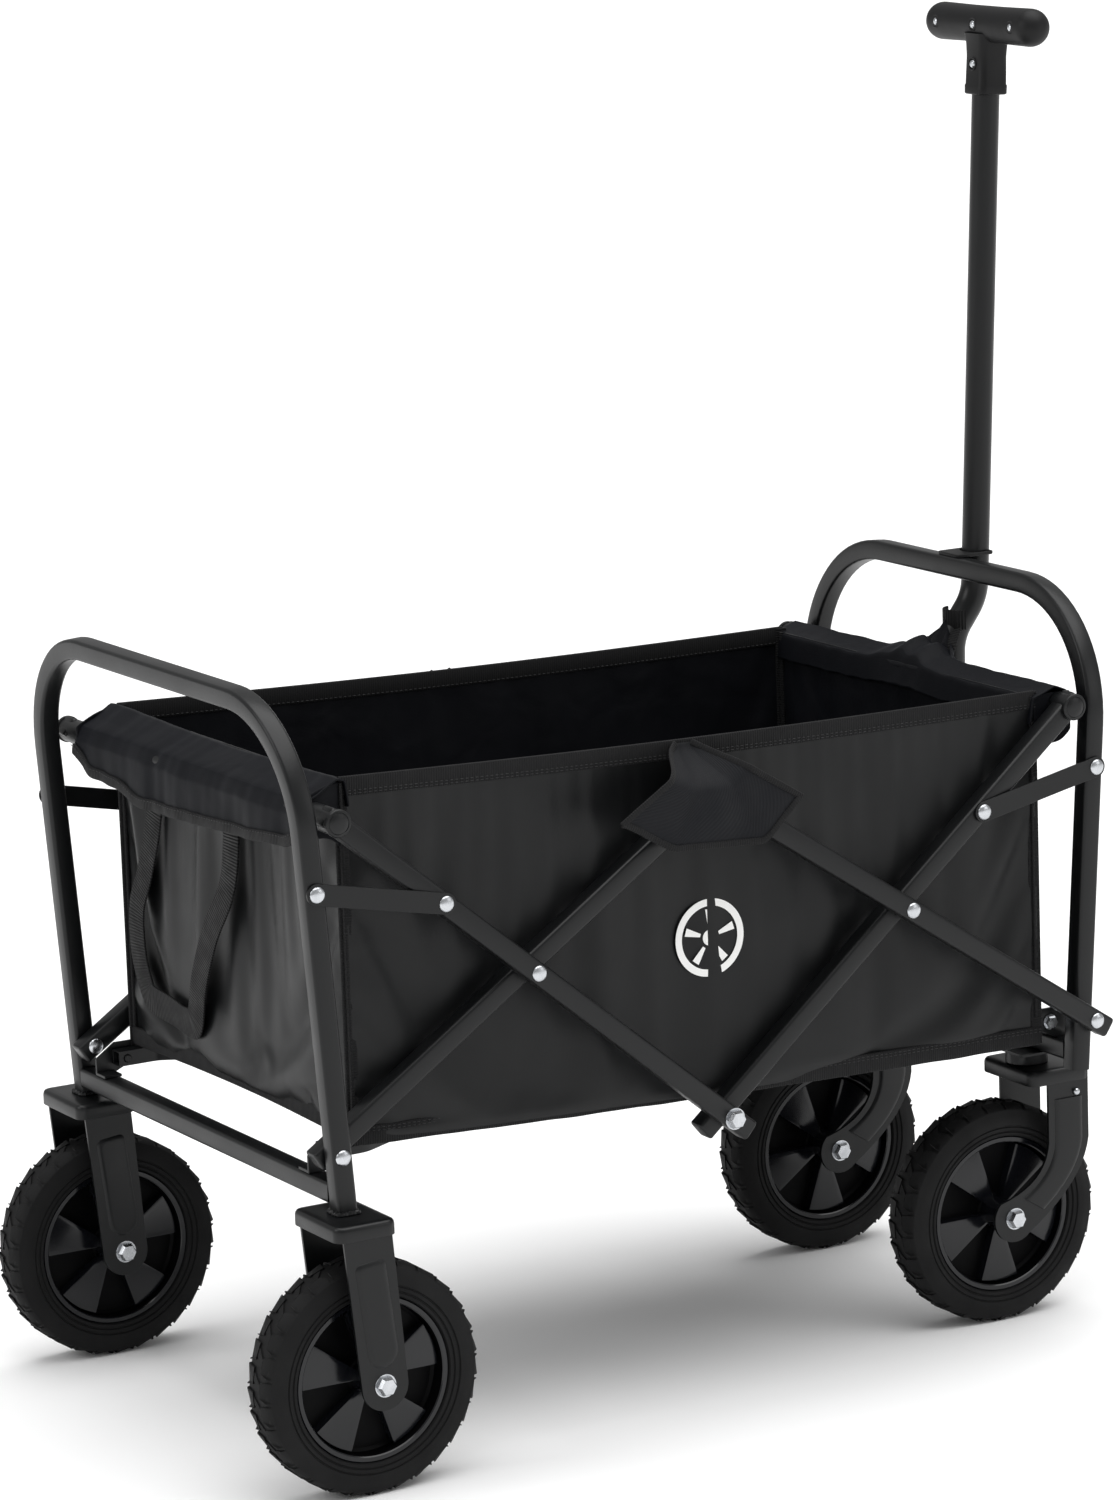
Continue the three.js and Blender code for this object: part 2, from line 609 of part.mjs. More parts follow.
/** Bracket on a crossbar that carries one floor arm: a foot and an ear with its pin. */
function floorBracket(end, side) {
  const ear = ARM_BRACKET_Y + ARM / 2 + GAP;
  const outside = ear + BRACKET_PLATE;
  const top = CROSSBAR_Z + HALF + GAP;
  const x0 = end * (CROSSBAR_X - HALF + SEAT);
  const x1 = end * (CROSSBAR_X + HALF);
  const foot = block(x0, x1, side * (ear - BRACKET_FOOT), side * outside, top, top + BRACKET_PLATE);
  const arm = new THREE.Vector2(end * ARM_PIVOT_X, ARM_Z);
  const shape = outline(
    [x1, top],
    [x1, ARM_Z],
    [end * (ARM_PIVOT_X + EAR_AHEAD), ARM_Z + EAR_RISE],
    [end * (ARM_PIVOT_X - EAR_BEHIND), ARM_Z + EAR_RISE],
    [end * (ARM_PIVOT_X - EAR_BEHIND), ARM_Z - ARM / 2],
    [x0, top],
  );
  const plate = plateXZ(shape, side * ear, side * outside);
  return join(
    foot,
    plate,
    rodY(PIN_RADIUS, arm, side * (ear + SEAT), side * (ARM_BRACKET_Y - ARM / 2 - INNER_HEAD)),
    rodY(INNER_HEAD_RADIUS, arm, side * (ear + SEAT), side * (outside + INNER_HEAD)),
  );
}

// ---- Scissor ----

/** Square tube brace between two points of the side view, with a tail past each. */
function brace(a, b, tailA, tailB, y) {
  const run = b.clone().sub(a).normalize();
  const from = a.clone().addScaledVector(run, -tailA);
  const to = b.clone().addScaledVector(run, tailB);
  const corners = [new THREE.Vector3(from.x, y, from.y), new THREE.Vector3(to.x, y, to.y)];
  return sweep(squareSection(TUBE, TUBE_WALL), new BentPath(corners, 1));
}

/** Lower brace from the rear leg's pivot to the centre top, drilled for its pins. */
function rearLowerBrace(side) {
  const tube = brace(LOWER_PIVOT, CENTRE_TOP, REAR_LOWER_TAIL, PIVOT_TAIL, side * INNER_LAYER);
  const pins = [LOWER_PIVOT, CROSSING, CENTRE_TOP];
  return cut(tube, ...pins.map((at) => pinHole(at, side, INNER_LAYER)));
}

/** Lower brace from the centre top to the front leg's pivot, with the pins it turns on. */
function frontLowerBrace(side) {
  const pivot = mirrored(LOWER_PIVOT);
  const tube = brace(CENTRE_TOP, pivot, PIVOT_TAIL, PIVOT_TAIL, side * OUTER_LAYER);
  const pins = [CENTRE_TOP, mirrored(CROSSING), pivot];
  return join(tube, ...pins.map((at) => rivet(at, side, OUTER_FACE, INNER_FACE - GAP)));
}

/** Upper brace from the rear cross tube to the centre bottom, with its rivet and bolt. */
function rearUpperBrace(side) {
  const tube = brace(CROSS_TUBE, CENTRE_BOTTOM, CROSS_TUBE_TAIL, BRACE_TAIL, side * OUTER_LAYER);
  return join(
    tube,
    rivet(CROSSING, side, OUTER_FACE, INNER_FACE - GAP),
    rodY(AXLE_RADIUS, CENTRE_BOTTOM, side * OUTER_LAYER, side * (OUTER_FACE + SEAT)),
    rodY(AXLE_HEAD_RADIUS, CENTRE_BOTTOM, side * OUTER_FACE, side * (OUTER_FACE + BOLT_HEAD), 6),
  );
}

/** Upper brace from the centre bottom to the front cross tube, drilled at the crossing. */
function frontUpperBrace(side) {
  const tube = brace(CENTRE_BOTTOM, mirrored(CROSS_TUBE), BRACE_TAIL, CROSS_TUBE_TAIL, side * INNER_LAYER);
  const nutEnd = INNER_FACE - NUT_HEIGHT;
  const nut = rodY(RIVET_HEAD, CENTRE_BOTTOM, side * nutEnd, side * INNER_LAYER, 6);
  return join(cut(tube, pinHole(mirrored(CROSSING), side, INNER_LAYER)), nut);
}

/** Round tube that joins the tops of two upper braces. */
function crossTube(at, layer) {
  const reach = layer - HALF - GAP;
  const from = new THREE.Vector3(at.x, -reach, at.y);
  const to = new THREE.Vector3(at.x, reach, at.y);
  return sweep(roundSection(CROSS_TUBE_RADIUS, TUBE_WALL), new BentPath([from, to], 1), 7);
}

/** Flat link from a leg's rivet to an upper brace, with the rivet head at its far end. */
function link(onLeg, onBrace, side, face) {
  const inside = face + GAP;
  const outside = inside + LINK_THICKNESS;
  const bar = plateXZ(slotOutline(onLeg, onBrace, LINK_WIDTH), side * inside, side * outside, 4);
  const drilled = cut(bar, rodY(PIN_RADIUS + PLAY, onLeg, side * (face - SEAT), side * (outside + SEAT), 12));
  return join(drilled, rodY(RIVET_HEAD, onBrace, side * (inside + SEAT), side * (outside + RIVET_DOME)));
}

// ---- Floor ----

/** Floor arm from its bracket to the hub: straight ends and a slanted middle. */
function floorArm(end, side, hubY) {
  const at = (x, y) => new THREE.Vector3(end * x, side * y, ARM_Z);
  const line = new BentPath([
    at(ARM_PIVOT_X + ARM_TAIL, ARM_BRACKET_Y),
    at(ARM_PIVOT_X - ARM_STRAIGHT, ARM_BRACKET_Y),
    at(HUB_HALF_LENGTH + ARM_STRAIGHT, hubY),
    at(HUB_HALF_LENGTH - ARM_TAIL, hubY),
  ], ARM_BEND, 3);
  const bar = sweep(squareSection(ARM, TUBE_WALL), line);
  const holes = [[ARM_PIVOT_X, ARM_BRACKET_Y], [HUB_HALF_LENGTH, hubY]].map(([x, y]) => {
    const pin = new THREE.Vector2(end * x, ARM_Z);
    return rodY(PIN_RADIUS + PLAY, pin, side * (y - ARM), side * (y + ARM));
  });
  return cut(bar, ...holes);
}

/** Hub in the middle of the floor, with the pins of the rear arms. */
function floorHub() {
  const reach = REAR_ARM_HUB_Y - ARM / 2 - GAP;
  const pin = new THREE.Vector2(-HUB_HALF_LENGTH, ARM_Z);
  const plan = roundRectangle(-HUB_HALF_WIDTH, HUB_HALF_WIDTH, -reach, reach, CAP_CORNER);
  const body = plateXY(plan, ARM_Z - HUB_THICKNESS / 2, ARM_Z + HUB_THICKNESS / 2);
  const end = REAR_ARM_HUB_Y + ARM / 2 + INNER_HEAD;
  const headRod = (side) => rodY(INNER_HEAD_RADIUS, pin, side * (end - SEAT), side * (end + SEAT), 12);
  const heads = [-1, 1].map(headRod);
  return join(body, rodY(PIN_RADIUS, pin, -end, end), ...heads);
}

/** Stiffened floor board over one pair of arms. */
function floorBoard(end) {
  const z = ARM_Z + ARM / 2 + GAP;
  const outer = (end < 0 ? -TUB_REAR_X : TUB_FRONT_X) - CLOTH - BOARD_MIDDLE / 2;
  const half = SIDE_PANEL_Y - CLOTH - BOARD_MIDDLE;
  return block(end * BOARD_MIDDLE, end * outer, -half, half, z, z + BOARD);
}

// ---- Fabric ----

/** Side panel of the tub. */
function sidePanel(side) {
  const shape = outline(
    [TUB_REAR_X, HEM_Z],
    [TUB_FRONT_X, HEM_Z - HEM_SLOPE],
    [TUB_FRONT_X, RIM_Z - RIM_SLOPE],
    [TUB_REAR_X, RIM_Z],
  );
  return plateXZ(shape, side * (SIDE_PANEL_Y - CLOTH), side * SIDE_PANEL_Y);
}

/** End panel of the tub, between the side panels. */
function endPanel(x, inward, bottom, top) {
  const half = SIDE_PANEL_Y - CLOTH - GAP;
  return block(x, x + inward * CLOTH, -half, half, bottom, top);
}

/** Sleeve that laps over a cross tube and hangs outside it. */
function flap(tube, rimX, rimZ, reach, drop) {
  const end = Math.sign(tube.x);
  const inside = CROSS_TUBE_RADIUS + 2 * PLAY;
  const outside = inside + FLAP_CLOTH;
  const around = (radius, eighths) => {
    const angle = (eighths * Math.PI) / 4;
    return [tube.x + end * radius * Math.sin(angle), tube.y + radius * Math.cos(angle)];
  };
  const shape = outline(
    [rimX + end * GAP, rimZ],
    [rimX + end * GAP, rimZ - FLAP_CLOTH],
    around(inside + SEAT / 4, 0),
    around(inside + SEAT / 4, 1),
    around(inside + SEAT / 4, 2),
    [tube.x + end * (inside + SEAT / 4), tube.y - drop],
    [tube.x + end * (outside + SEAT), tube.y - drop],
    around(outside + SEAT, 2),
    around(outside + SEAT, 1),
    around(outside + SEAT, 0),
  );
  return plateXZ(shape, -reach, reach);
}

/** Fan of fabric over the scissor's top joint, hung from the rim. */
function gusset(side) {
  const rim = RIM_Z - RIM_SLOPE / 2;
  const inside = OUTER_FACE + RIVET_DOME + SEAT;
  const outside = inside + CLOTH;
  const bottom = rim - GUSSET_DROP;
  const foot = GUSSET_FOOT * GUSSET_HALF;
  const width = GUSSET_HEAD * GUSSET_HALF;
  const shoulder = bottom + GUSSET_SHOULDER * GUSSET_DROP;
  const fan = outline(
    [-foot, bottom],
    [foot, bottom],
    [GUSSET_HALF, shoulder],
    [width, rim],
    [-width, rim],
    [-GUSSET_HALF, shoulder],
  );
  const inner = side * (SIDE_PANEL_Y + GAP);
  const web = block(-width, width, inner, side * outside, rim - CLOTH, rim);
  return join(plateXZ(fan, side * inside, side * outside), web);
}

// ---- Pull handle ----

/** Middle line of the handle tube: up from its pivot, forward round the top bar, and up. */
function handleLine(end) {
  const neck = FRAME_TOP - NECK_DROP;
  const barFront = legX(FRAME_TOP - HALF) + HALF;
  const passX = barFront + HANDLE_RADIUS + HANDLE_PLAY;
  const lowX = passX - NECK_AHEAD;
  const at = (x, z) => new THREE.Vector3(x, 0, z);
  const passZ = FRAME_TOP - NECK_TOP_DROP;
  return new BentPath([
    at(HANDLE_PIVOT.x, HANDLE_PIVOT.y - HANDLE_FOOT),
    at(lowX, neck),
    at(passX, passZ),
    at(passX + HANDLE_LEAN * (end - passZ), end),
  ], HANDLE_BEND, 4);
}

/** Handle tube, cut flat at its pivot and drilled for the pivot pin. */
function handleTube() {
  const line = handleLine(FRAME_TOP + HANDLE_LENGTH + TUBE_INTO_GRIP);
  const tube = sweep(roundSection(HANDLE_RADIUS, HANDLE_WALL), line, 7);
  return cut(tube, rodY(AXLE_RADIUS + PLAY, HANDLE_PIVOT, -HANDLE_CUT, HANDLE_CUT, 12));
}

/** T grip and the socket that takes the handle tube. */
function grip() {
  const line = handleLine(FRAME_TOP + HANDLE_LENGTH);
  const direction = line.directions.at(-1);
  const end = line.stations.at(-1).clone();
  const middle = end.clone().addScaledVector(direction, SOCKET_LENGTH + GRIP_RADIUS - GRIP_SEAT);
  const bar = new THREE.CapsuleGeometry(GRIP_RADIUS, GRIP_LENGTH - 2 * GRIP_RADIUS, 3, 14);
  bar.translate(middle.x, middle.y, middle.z);
  const socket = new THREE.BoxGeometry(SOCKET_SIZE, SOCKET_SIZE, SOCKET_LENGTH);
  socket.rotateY(Math.atan2(direction.x, direction.z));
  const centre = end.clone().addScaledVector(direction, SOCKET_LENGTH / 2);
  socket.translate(centre.x, centre.y, centre.z);
  const room = new THREE.CylinderGeometry(HANDLE_RADIUS + GAP, HANDLE_RADIUS + GAP, SOCKET_LENGTH, 16);
  room.rotateX(Math.PI / 2).rotateY(Math.atan2(direction.x, direction.z));
  const roomAt = end.clone().addScaledVector(direction, SOCKET_ROOM - SOCKET_LENGTH / 2);
  room.translate(roomAt.x, roomAt.y, roomAt.z);
  return cut(join(bar, socket), room);
}

/** U bracket on the front crossbar that holds the handle's pivot pin. */
function handleBracket() {
  const inside = HANDLE_RADIUS + SEAT;
  const outside = inside + BRACKET_PLATE;
  const back = CROSSBAR_X + HALF + GAP;
  const low = CROSSBAR_Z - HALF + SEAT;
  const high = CROSSBAR_Z + HALF;
  const web = block(back, back + BRACKET_PLATE, -outside, outside, low, high);
  const ear = new THREE.Shape();
  ear.moveTo(back, low);
  ear.lineTo(back + EAR_RADIUS, low);
  ear.lineTo(HANDLE_PIVOT.x + EAR_RADIUS, HANDLE_PIVOT.y);
  ear.absarc(HANDLE_PIVOT.x, HANDLE_PIVOT.y, EAR_RADIUS, 0, Math.PI, false);
  ear.lineTo(back, high);
  ear.closePath();
  const ears = [-1, 1].map((side) => plateXZ(ear, side * inside, side * outside));
  const pin = rodY(AXLE_RADIUS, HANDLE_PIVOT, -outside - RIVET_DOME, outside + RIVET_DOME);
  return join(web, ...ears, pin);
}

/** Open clip on the top bar that the handle tube rests in. */
function handleClip() {
  const line = handleLine(FRAME_TOP + CLIP_THICKNESS);
  const tubeX = line.stations.at(-1).x;
  const bar = legX(FRAME_TOP - HALF);
  const inside = HANDLE_RADIUS + 2 * PLAY;
  const outside = inside + CLIP_WALL;
  const z = FRAME_TOP + 2 * GAP;
  const top = z + CLIP_THICKNESS;
  const plate = roundRectangle(bar - HALF + CLIP_WALL, tubeX + CLIP_AHEAD, -outside, outside, CLIP_WALL);
  const slot = roundRectangle(tubeX - inside, tubeX + 4 * inside, -inside, inside, inside - GAP);
  return cut(plateXY(plate, z, top), plateXY(slot, z - SEAT, top + SEAT, 4));
}

// ---- Assembly ----

add("rear_frame_tube", rearFrame(), "frame");
add("rear_crossbar", crossbar(-1, OUTER_LAYER), "frame");
add("front_frame_tube", frontFrame(), "frame");
add("front_crossbar", crossbar(1, INNER_LAYER), "frame");
add("handle_clip", handleClip(), "frame");
add("handle_bracket", handleBracket(), "frame");
add("handle_tube", handleTube(), "frame");
add("handle_grip", grip(), "grip");
add("rear_cross_tube", crossTube(CROSS_TUBE, OUTER_LAYER), "frame");
add("front_cross_tube", crossTube(mirrored(CROSS_TUBE), INNER_LAYER), "frame");
add("floor_hub", floorHub(), "frame");
add("rear_floor_board", floorBoard(-1), "fabric");
add("front_floor_board", floorBoard(1), "fabric");

for (const [name, side] of SIDES) {
  add(`rear_fork_${name}`, rearFork(side * REAR_WHEEL_Y), "frame");
  add(`caster_fork_${name}`, casterFork(side * FRONT_WHEEL_Y), "frame");
  add(`swivel_plate_${name}`, swivelPlate(side * FRONT_WHEEL_Y), "frame");
  addWheel(`rear_${name}`, REAR_AXLE_X, side * REAR_WHEEL_Y, side, Math.PI / 2);
  addWheel(`front_${name}`, CROSSBAR_X - CASTER_TRAIL, side * FRONT_WHEEL_Y, side, -Math.PI / 2);
  add(`rear_floor_bracket_${name}`, floorBracket(-1, side), "frame");
  add(`front_floor_bracket_${name}`, floorBracket(1, side), "frame");
  add(`rear_lower_brace_${name}`, rearLowerBrace(side), "frame");
  add(`front_lower_brace_${name}`, frontLowerBrace(side), "frame");
  add(`rear_upper_brace_${name}`, rearUpperBrace(side), "frame");
  add(`front_upper_brace_${name}`, frontUpperBrace(side), "frame");
  add(`rear_link_${name}`, link(LINK_ON_LEG, LINK_ON_BRACE, side, OUTER_FACE), "frame");
  add(`front_link_${name}`, link(mirrored(LINK_ON_LEG), mirrored(LINK_ON_BRACE), side, FRONT_FACE), "frame");
  add(`rear_floor_arm_${name}`, floorArm(-1, side, REAR_ARM_HUB_Y), "frame");
  add(`front_floor_arm_${name}`, floorArm(1, side, FRONT_ARM_HUB_Y), "frame");
  add(`side_panel_${name}`, sidePanel(side), "fabric");
  add(`side_gusset_${name}`, gusset(side), "webbing");
}

const panelBottom = ARM_Z + ARM / 2 + PANEL_FOOT;
const sleeveReach = INNER_LAYER - HALF - FLAP_END_GAP;
const frontTube = mirrored(CROSS_TUBE);
const frontSleeveZ = RIM_Z - RIM_SLOPE + FRONT_FLAP_RISE;
const frontRim = RIM_Z - RIM_SLOPE;
add("rear_panel", endPanel(TUB_REAR_X, 1, panelBottom, RIM_Z), "fabric");
add("front_panel", endPanel(TUB_FRONT_X, -1, panelBottom, frontRim), "fabric");
add("rear_flap", flap(CROSS_TUBE, TUB_REAR_X, RIM_Z, sleeveReach, FLAP_DROP), "fabric");
add("front_flap", flap(frontTube, TUB_FRONT_X, frontSleeveZ, sleeveReach, FRONT_FLAP_DROP), "fabric");
const pocketBack = TUB_FRONT_X + GAP;
const pocketTop = RIM_Z - POCKET_DROP;
const pocketFront = pocketBack + POCKET_DEPTH;
const pocket = block(pocketBack, pocketFront, -POCKET_HALF, POCKET_HALF, panelBottom, pocketTop);
add("mesh_pocket", pocket, "webbing");

const bounds = new THREE.Box3().setFromObject(wagon);
const centre = bounds.getCenter(new THREE.Vector3());
wagon.position.set(-centre.x, -centre.y, -bounds.min.z);
const foldingWagon = new THREE.Group();
foldingWagon.add(wagon);

export default foldingWagon;
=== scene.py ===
"""Looks of a folding utility wagon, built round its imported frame.

Lengths are in millimetres unless a name or a comment says otherwise. X runs from the rear legs
to the pull handle and is measured from the middle of the scissor, Y to the wagon's left, Z up.
"""

import json
import logging
import math
from dataclasses import dataclass, field
from enum import Enum
from typing import Callable, Iterable, Sequence

import bmesh
import bpy
from bpy.types import ID, Material, Node, NodeSocket, NodeTree, Object
from mathutils import Matrix, Vector, noise


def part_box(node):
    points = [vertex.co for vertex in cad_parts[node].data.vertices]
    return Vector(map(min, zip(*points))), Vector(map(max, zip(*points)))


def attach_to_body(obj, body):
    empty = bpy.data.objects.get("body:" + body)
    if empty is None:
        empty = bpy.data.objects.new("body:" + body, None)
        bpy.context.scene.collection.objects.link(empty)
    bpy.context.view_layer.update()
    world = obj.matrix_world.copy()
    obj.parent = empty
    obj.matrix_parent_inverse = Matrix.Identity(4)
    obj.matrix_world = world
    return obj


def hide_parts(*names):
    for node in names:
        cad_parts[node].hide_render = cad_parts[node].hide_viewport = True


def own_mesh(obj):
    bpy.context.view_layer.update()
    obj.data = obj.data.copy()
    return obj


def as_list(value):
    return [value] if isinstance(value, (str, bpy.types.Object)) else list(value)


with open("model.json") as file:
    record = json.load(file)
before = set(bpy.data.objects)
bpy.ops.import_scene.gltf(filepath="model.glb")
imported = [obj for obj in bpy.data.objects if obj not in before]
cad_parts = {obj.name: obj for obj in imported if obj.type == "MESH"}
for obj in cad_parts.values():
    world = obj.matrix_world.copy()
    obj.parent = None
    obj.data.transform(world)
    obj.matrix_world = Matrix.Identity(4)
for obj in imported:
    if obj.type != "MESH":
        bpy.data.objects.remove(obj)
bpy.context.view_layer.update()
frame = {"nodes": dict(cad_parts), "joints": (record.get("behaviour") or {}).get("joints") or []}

log = logging.getLogger("wagon")

MM = 0.001
SIDES = (("right", -1.0), ("left", 1.0))
Outline = Sequence[tuple[float, float]]  # points of a flat shape
Heads = Sequence[tuple[Vector, Vector]]  # points and the ways that they face
Height = Callable[[float], float]
Facing = Callable[[float], Vector]
Place = Callable[[float, float], Vector]  # a surface at two shares from 0 to 1


# ---- Places that the sub-assemblies share ----


def joint_point(name: str) -> Vector:
    """Where a joint is, in metres, in the row's frame.

    Args:
        name: the joint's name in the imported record.

    Returns:
        The joint's point.
    """
    found = next(joint for joint in frame["joints"] if joint["name"] == name)
    return Vector(found["pos_m"])


MIDDLE = joint_point("centre_top_pivot").x


def place_of(name: str) -> Vector:
    """Where a joint is, in millimetres from the scissor's middle.

    Args:
        name: the joint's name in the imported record.

    Returns:
        The joint's point in this file's own lengths.
    """
    at = joint_point(name)
    return Vector((at.x - MIDDLE, at.y, at.z)) / MM


def across(point: Vector) -> Vector:
    """The same point on the other half of the scissor."""
    return Vector((-point.x, point.y, point.z))


@dataclass(frozen=True)
class Plan:
    """Sizes and places that several sub-assemblies are built on."""

    tube: float = 16.0
    tube_corner: float = 2.7
    layer_gap: float = 1.6
    lean: float = 0.068
    gap: float = 0.3
    crossbar_rise: float = 14.6
    inner: float = -(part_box("rear_lower_brace_right")[0].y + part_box("rear_lower_brace_right")[1].y) / 2 / MM
    top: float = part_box("rear_frame_tube")[1].z / MM
    leg_foot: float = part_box("rear_frame_tube")[0].z / MM
    pivot: Vector = field(default_factory=lambda: place_of("fold"))
    centre_top: Vector = field(default_factory=lambda: place_of("centre_top_pivot"))
    crossing: Vector = field(default_factory=lambda: place_of("rear_crossing_pivot"))
    cross_tube: Vector = field(default_factory=lambda: place_of("rear_rim_pivot"))
    link_on_leg: Vector = field(default_factory=lambda: place_of("rear_link_pivot"))
    handle_pivot: Vector = field(default_factory=lambda: place_of("handle_pivot"))
    bolt_rise: float = 18.7
    link_along: float = 99.6  # from the crossing to the link on its brace

    @property
    def outer(self) -> float:
        """Middle of the outer layer of square tubes, from the wagon's middle."""
        return self.inner + self.tube + self.layer_gap

    @property
    def deck(self) -> float:
        """Height of the rear fork caps' tops."""
        return self.leg_foot - self.gap

    @property
    def crossbar_z(self) -> float:
        """Height of the crossbars' middle."""
        return self.deck + self.crossbar_rise

    @property
    def centre_bottom(self) -> Vector:
        """The bolt where the upper braces meet."""
        return Vector((0.0, 0.0, self.deck + self.bolt_rise))

    @property
    def link_on_brace(self) -> Vector:
        """The link's far rivet, on the upper brace."""
        run = (self.cross_tube - self.centre_bottom).normalized()
        return self.crossing + run * self.link_along

    def leg_x(self, z: float) -> float:
        """Distance of a leg's middle from the scissor's middle, at a height."""
        return -self.pivot.x + self.lean * (z - self.pivot.z)


PLAN = Plan()


# ---- Nodes ----


def put(name: str, data: ID) -> Object:
    """Puts a new object with this data in the scene."""
    made = bpy.data.objects.new(name, data)
    bpy.context.scene.collection.objects.link(made)
    return made


def add_node(tree: NodeTree, kind: str, inputs: dict | None = None, **settings) -> Node:
    """Adds a node with its settings and links.

    Args:
        tree: the tree that gets the node.
        kind: the node's type.
        inputs: for each input's name or number, a value or the socket that feeds it.
        **settings: properties of the node.

    Returns:
        The new node.
    """
    made = tree.nodes.new(kind)
    for key, value in settings.items():
        setattr(made, key, value)
    for key, value in (inputs or {}).items():
        if isinstance(value, NodeSocket):
            tree.links.new(value, made.inputs[key])
        else:
            made.inputs[key].default_value = value
    return made


def colour(code: str) -> tuple[float, float, float, float]:
    """An sRGB hex colour as linear values.

    Args:
        code: six hex digits after a hash sign.

    Returns:
        Linear red, green, blue and an alpha of 1.
    """
    parts = [int(code[i : i + 2], 16) / 255 for i in (1, 3, 5)]
    linear = [p / 12.92 if p <= 0.04045 else ((p + 0.055) / 1.055) ** 2.4 for p in parts]
    return (linear[0], linear[1], linear[2], 1.0)


# ---- Finishes ----


@dataclass(frozen=True)
class Finish:
    """A finish with two close shades, a range of roughness and a fine relief."""

    name: str
    shade: str
    other_shade: str
    smooth: float
    rough: float
    metallic: float = 0.0
    specular: float = 0.5
    mottle: float = 40.0  # size of the soft patches
    relief: float = 0.0  # depth of the fine relief

    def shader(self) -> tuple[Material, NodeTree, Node]:
        """Starts the material with the values that are the same all over.

        Returns:
            The material, its tree and its shader node.
        """
        made = bpy.data.materials.new(self.name)
        made.use_nodes = True
        tree = made.node_tree
        shader = tree.nodes["Principled BSDF"]
        shader.inputs["Metallic"].default_value = self.metallic
        shader.inputs["Specular IOR Level"].default_value = self.specular
        return made, tree, shader

    def patches(self, tree: NodeTree, shader: Node, where: NodeSocket) -> None:
        """Soft patches of shade and roughness, as a used surface has.

        Args:
            tree: the material's tree.
            shader: its shader node.
            where: the coordinates that the patches follow.
        """
        cloud = add_node(
            tree, "ShaderNodeTexNoise", {"Vector": where, "Scale": 1 / (self.mottle * MM), "Detail": 3.0}
        )
        mix = add_node(
            tree,
            "ShaderNodeMix",
            {0: cloud.outputs[0], 6: colour(self.shade), 7: colour(self.other_shade)},
            data_type="RGBA",
        )
        tree.links.new(mix.outputs[2], shader.inputs["Base Color"])
        span = add_node(
            tree,
            "ShaderNodeMapRange",
            {0: cloud.outputs[0], 1: 0.3, 2: 0.7, 3: self.smooth, 4: self.rough},
        )
        tree.links.new(span.outputs[0], shader.inputs["Roughness"])

    def emboss(self, tree: NodeTree, shader: Node, height: NodeSocket) -> None:
        """Turns a height into the surface's fine relief."""
        bump = add_node(
            tree, "ShaderNodeBump", {"Height": height, "Strength": 1.0, "Distance": self.relief * MM}
        )
        tree.links.new(bump.outputs[0], shader.inputs["Normal"])


@dataclass(frozen=True)
class Grained(Finish):
    """A coated, plated or moulded surface with a fine even grain."""

    grain: float = 1.5  # size of the grain
    coat: float = 0.0

    def make(self) -> Material:
        """Builds the material on Object coordinates."""
        made, tree, shader = self.shader()
        shader.inputs["Coat Weight"].default_value = self.coat
        where = add_node(tree, "ShaderNodeTexCoord").outputs["Object"]
        self.patches(tree, shader, where)
        grain = add_node(
            tree, "ShaderNodeTexNoise", {"Vector": where, "Scale": 1 / (self.grain * MM), "Detail": 2.0}
        )
        self.emboss(tree, shader, grain.outputs[0])
        return made


class Weave(Enum):
    """How a cloth's threads cross."""

    PLAIN = "plain"
    RIBBED = "ribbed"
    TWILL = "twill"


@dataclass(frozen=True)
class Woven(Finish):
    """A cloth whose pattern follows its own UV map, which is in metres."""

    weave: Weave = Weave.PLAIN
    pitch: float = 1.1  # from one drawn thread to the next
    sheen: float = 0.0
    sheen_tint: str = "#ffffff"
    rumple: float = 0.0  # height of broad soft creases
    crease_size: float = 42.0

    def threads(self, tree: NodeTree, where: NodeSocket, direction: str) -> NodeSocket:
        """One set of parallel threads, as a height."""
        full_wave = 2 * math.pi / 20  # length of one band of the texture at scale 1
        bands = add_node(
            tree,
            "ShaderNodeTexWave",
            {"Vector": where, "Scale": full_wave / (self.pitch * MM), "Distortion": 0.0},
            bands_direction=direction,
        )
        return bands.outputs["Fac"]

    def make(self) -> Material:
        """Builds the material on the cloth's UV map."""
        made, tree, shader = self.shader()
        shader.inputs["Sheen Weight"].default_value = self.sheen
        shader.inputs["Sheen Roughness"].default_value = 0.5
        shader.inputs["Sheen Tint"].default_value = colour(self.sheen_tint)
        where = add_node(tree, "ShaderNodeTexCoord").outputs["UV"]
        self.patches(tree, shader, where)
        warp = self.threads(tree, where, "X" if self.weave is not Weave.TWILL else "DIAGONAL")
        if self.weave is Weave.PLAIN:
            weft = self.threads(tree, where, "Y")
            warp = add_node(tree, "ShaderNodeMath", {0: warp, 1: weft}, operation="MULTIPLY").outputs[0]
        self.emboss(tree, shader, warp)
        if self.rumple:
            self.crumples(tree, shader, where)
        return made

    def crumples(self, tree: NodeTree, shader: Node, where: NodeSocket) -> None:
        """Broad soft creases under the weave."""
        broad = add_node(
            tree, "ShaderNodeTexNoise",
            {"Vector": where, "Scale": 1 / (self.crease_size * MM), "Detail": 1.5, "Distortion": 0.6},
        )
        weave = shader.inputs["Normal"].links[0].from_node
        fold = add_node(
            tree, "ShaderNodeBump",
            {"Height": broad.outputs[0], "Strength": 1.0, "Distance": self.rumple * MM}
        )
        tree.links.new(fold.outputs[0], weave.inputs["Normal"])


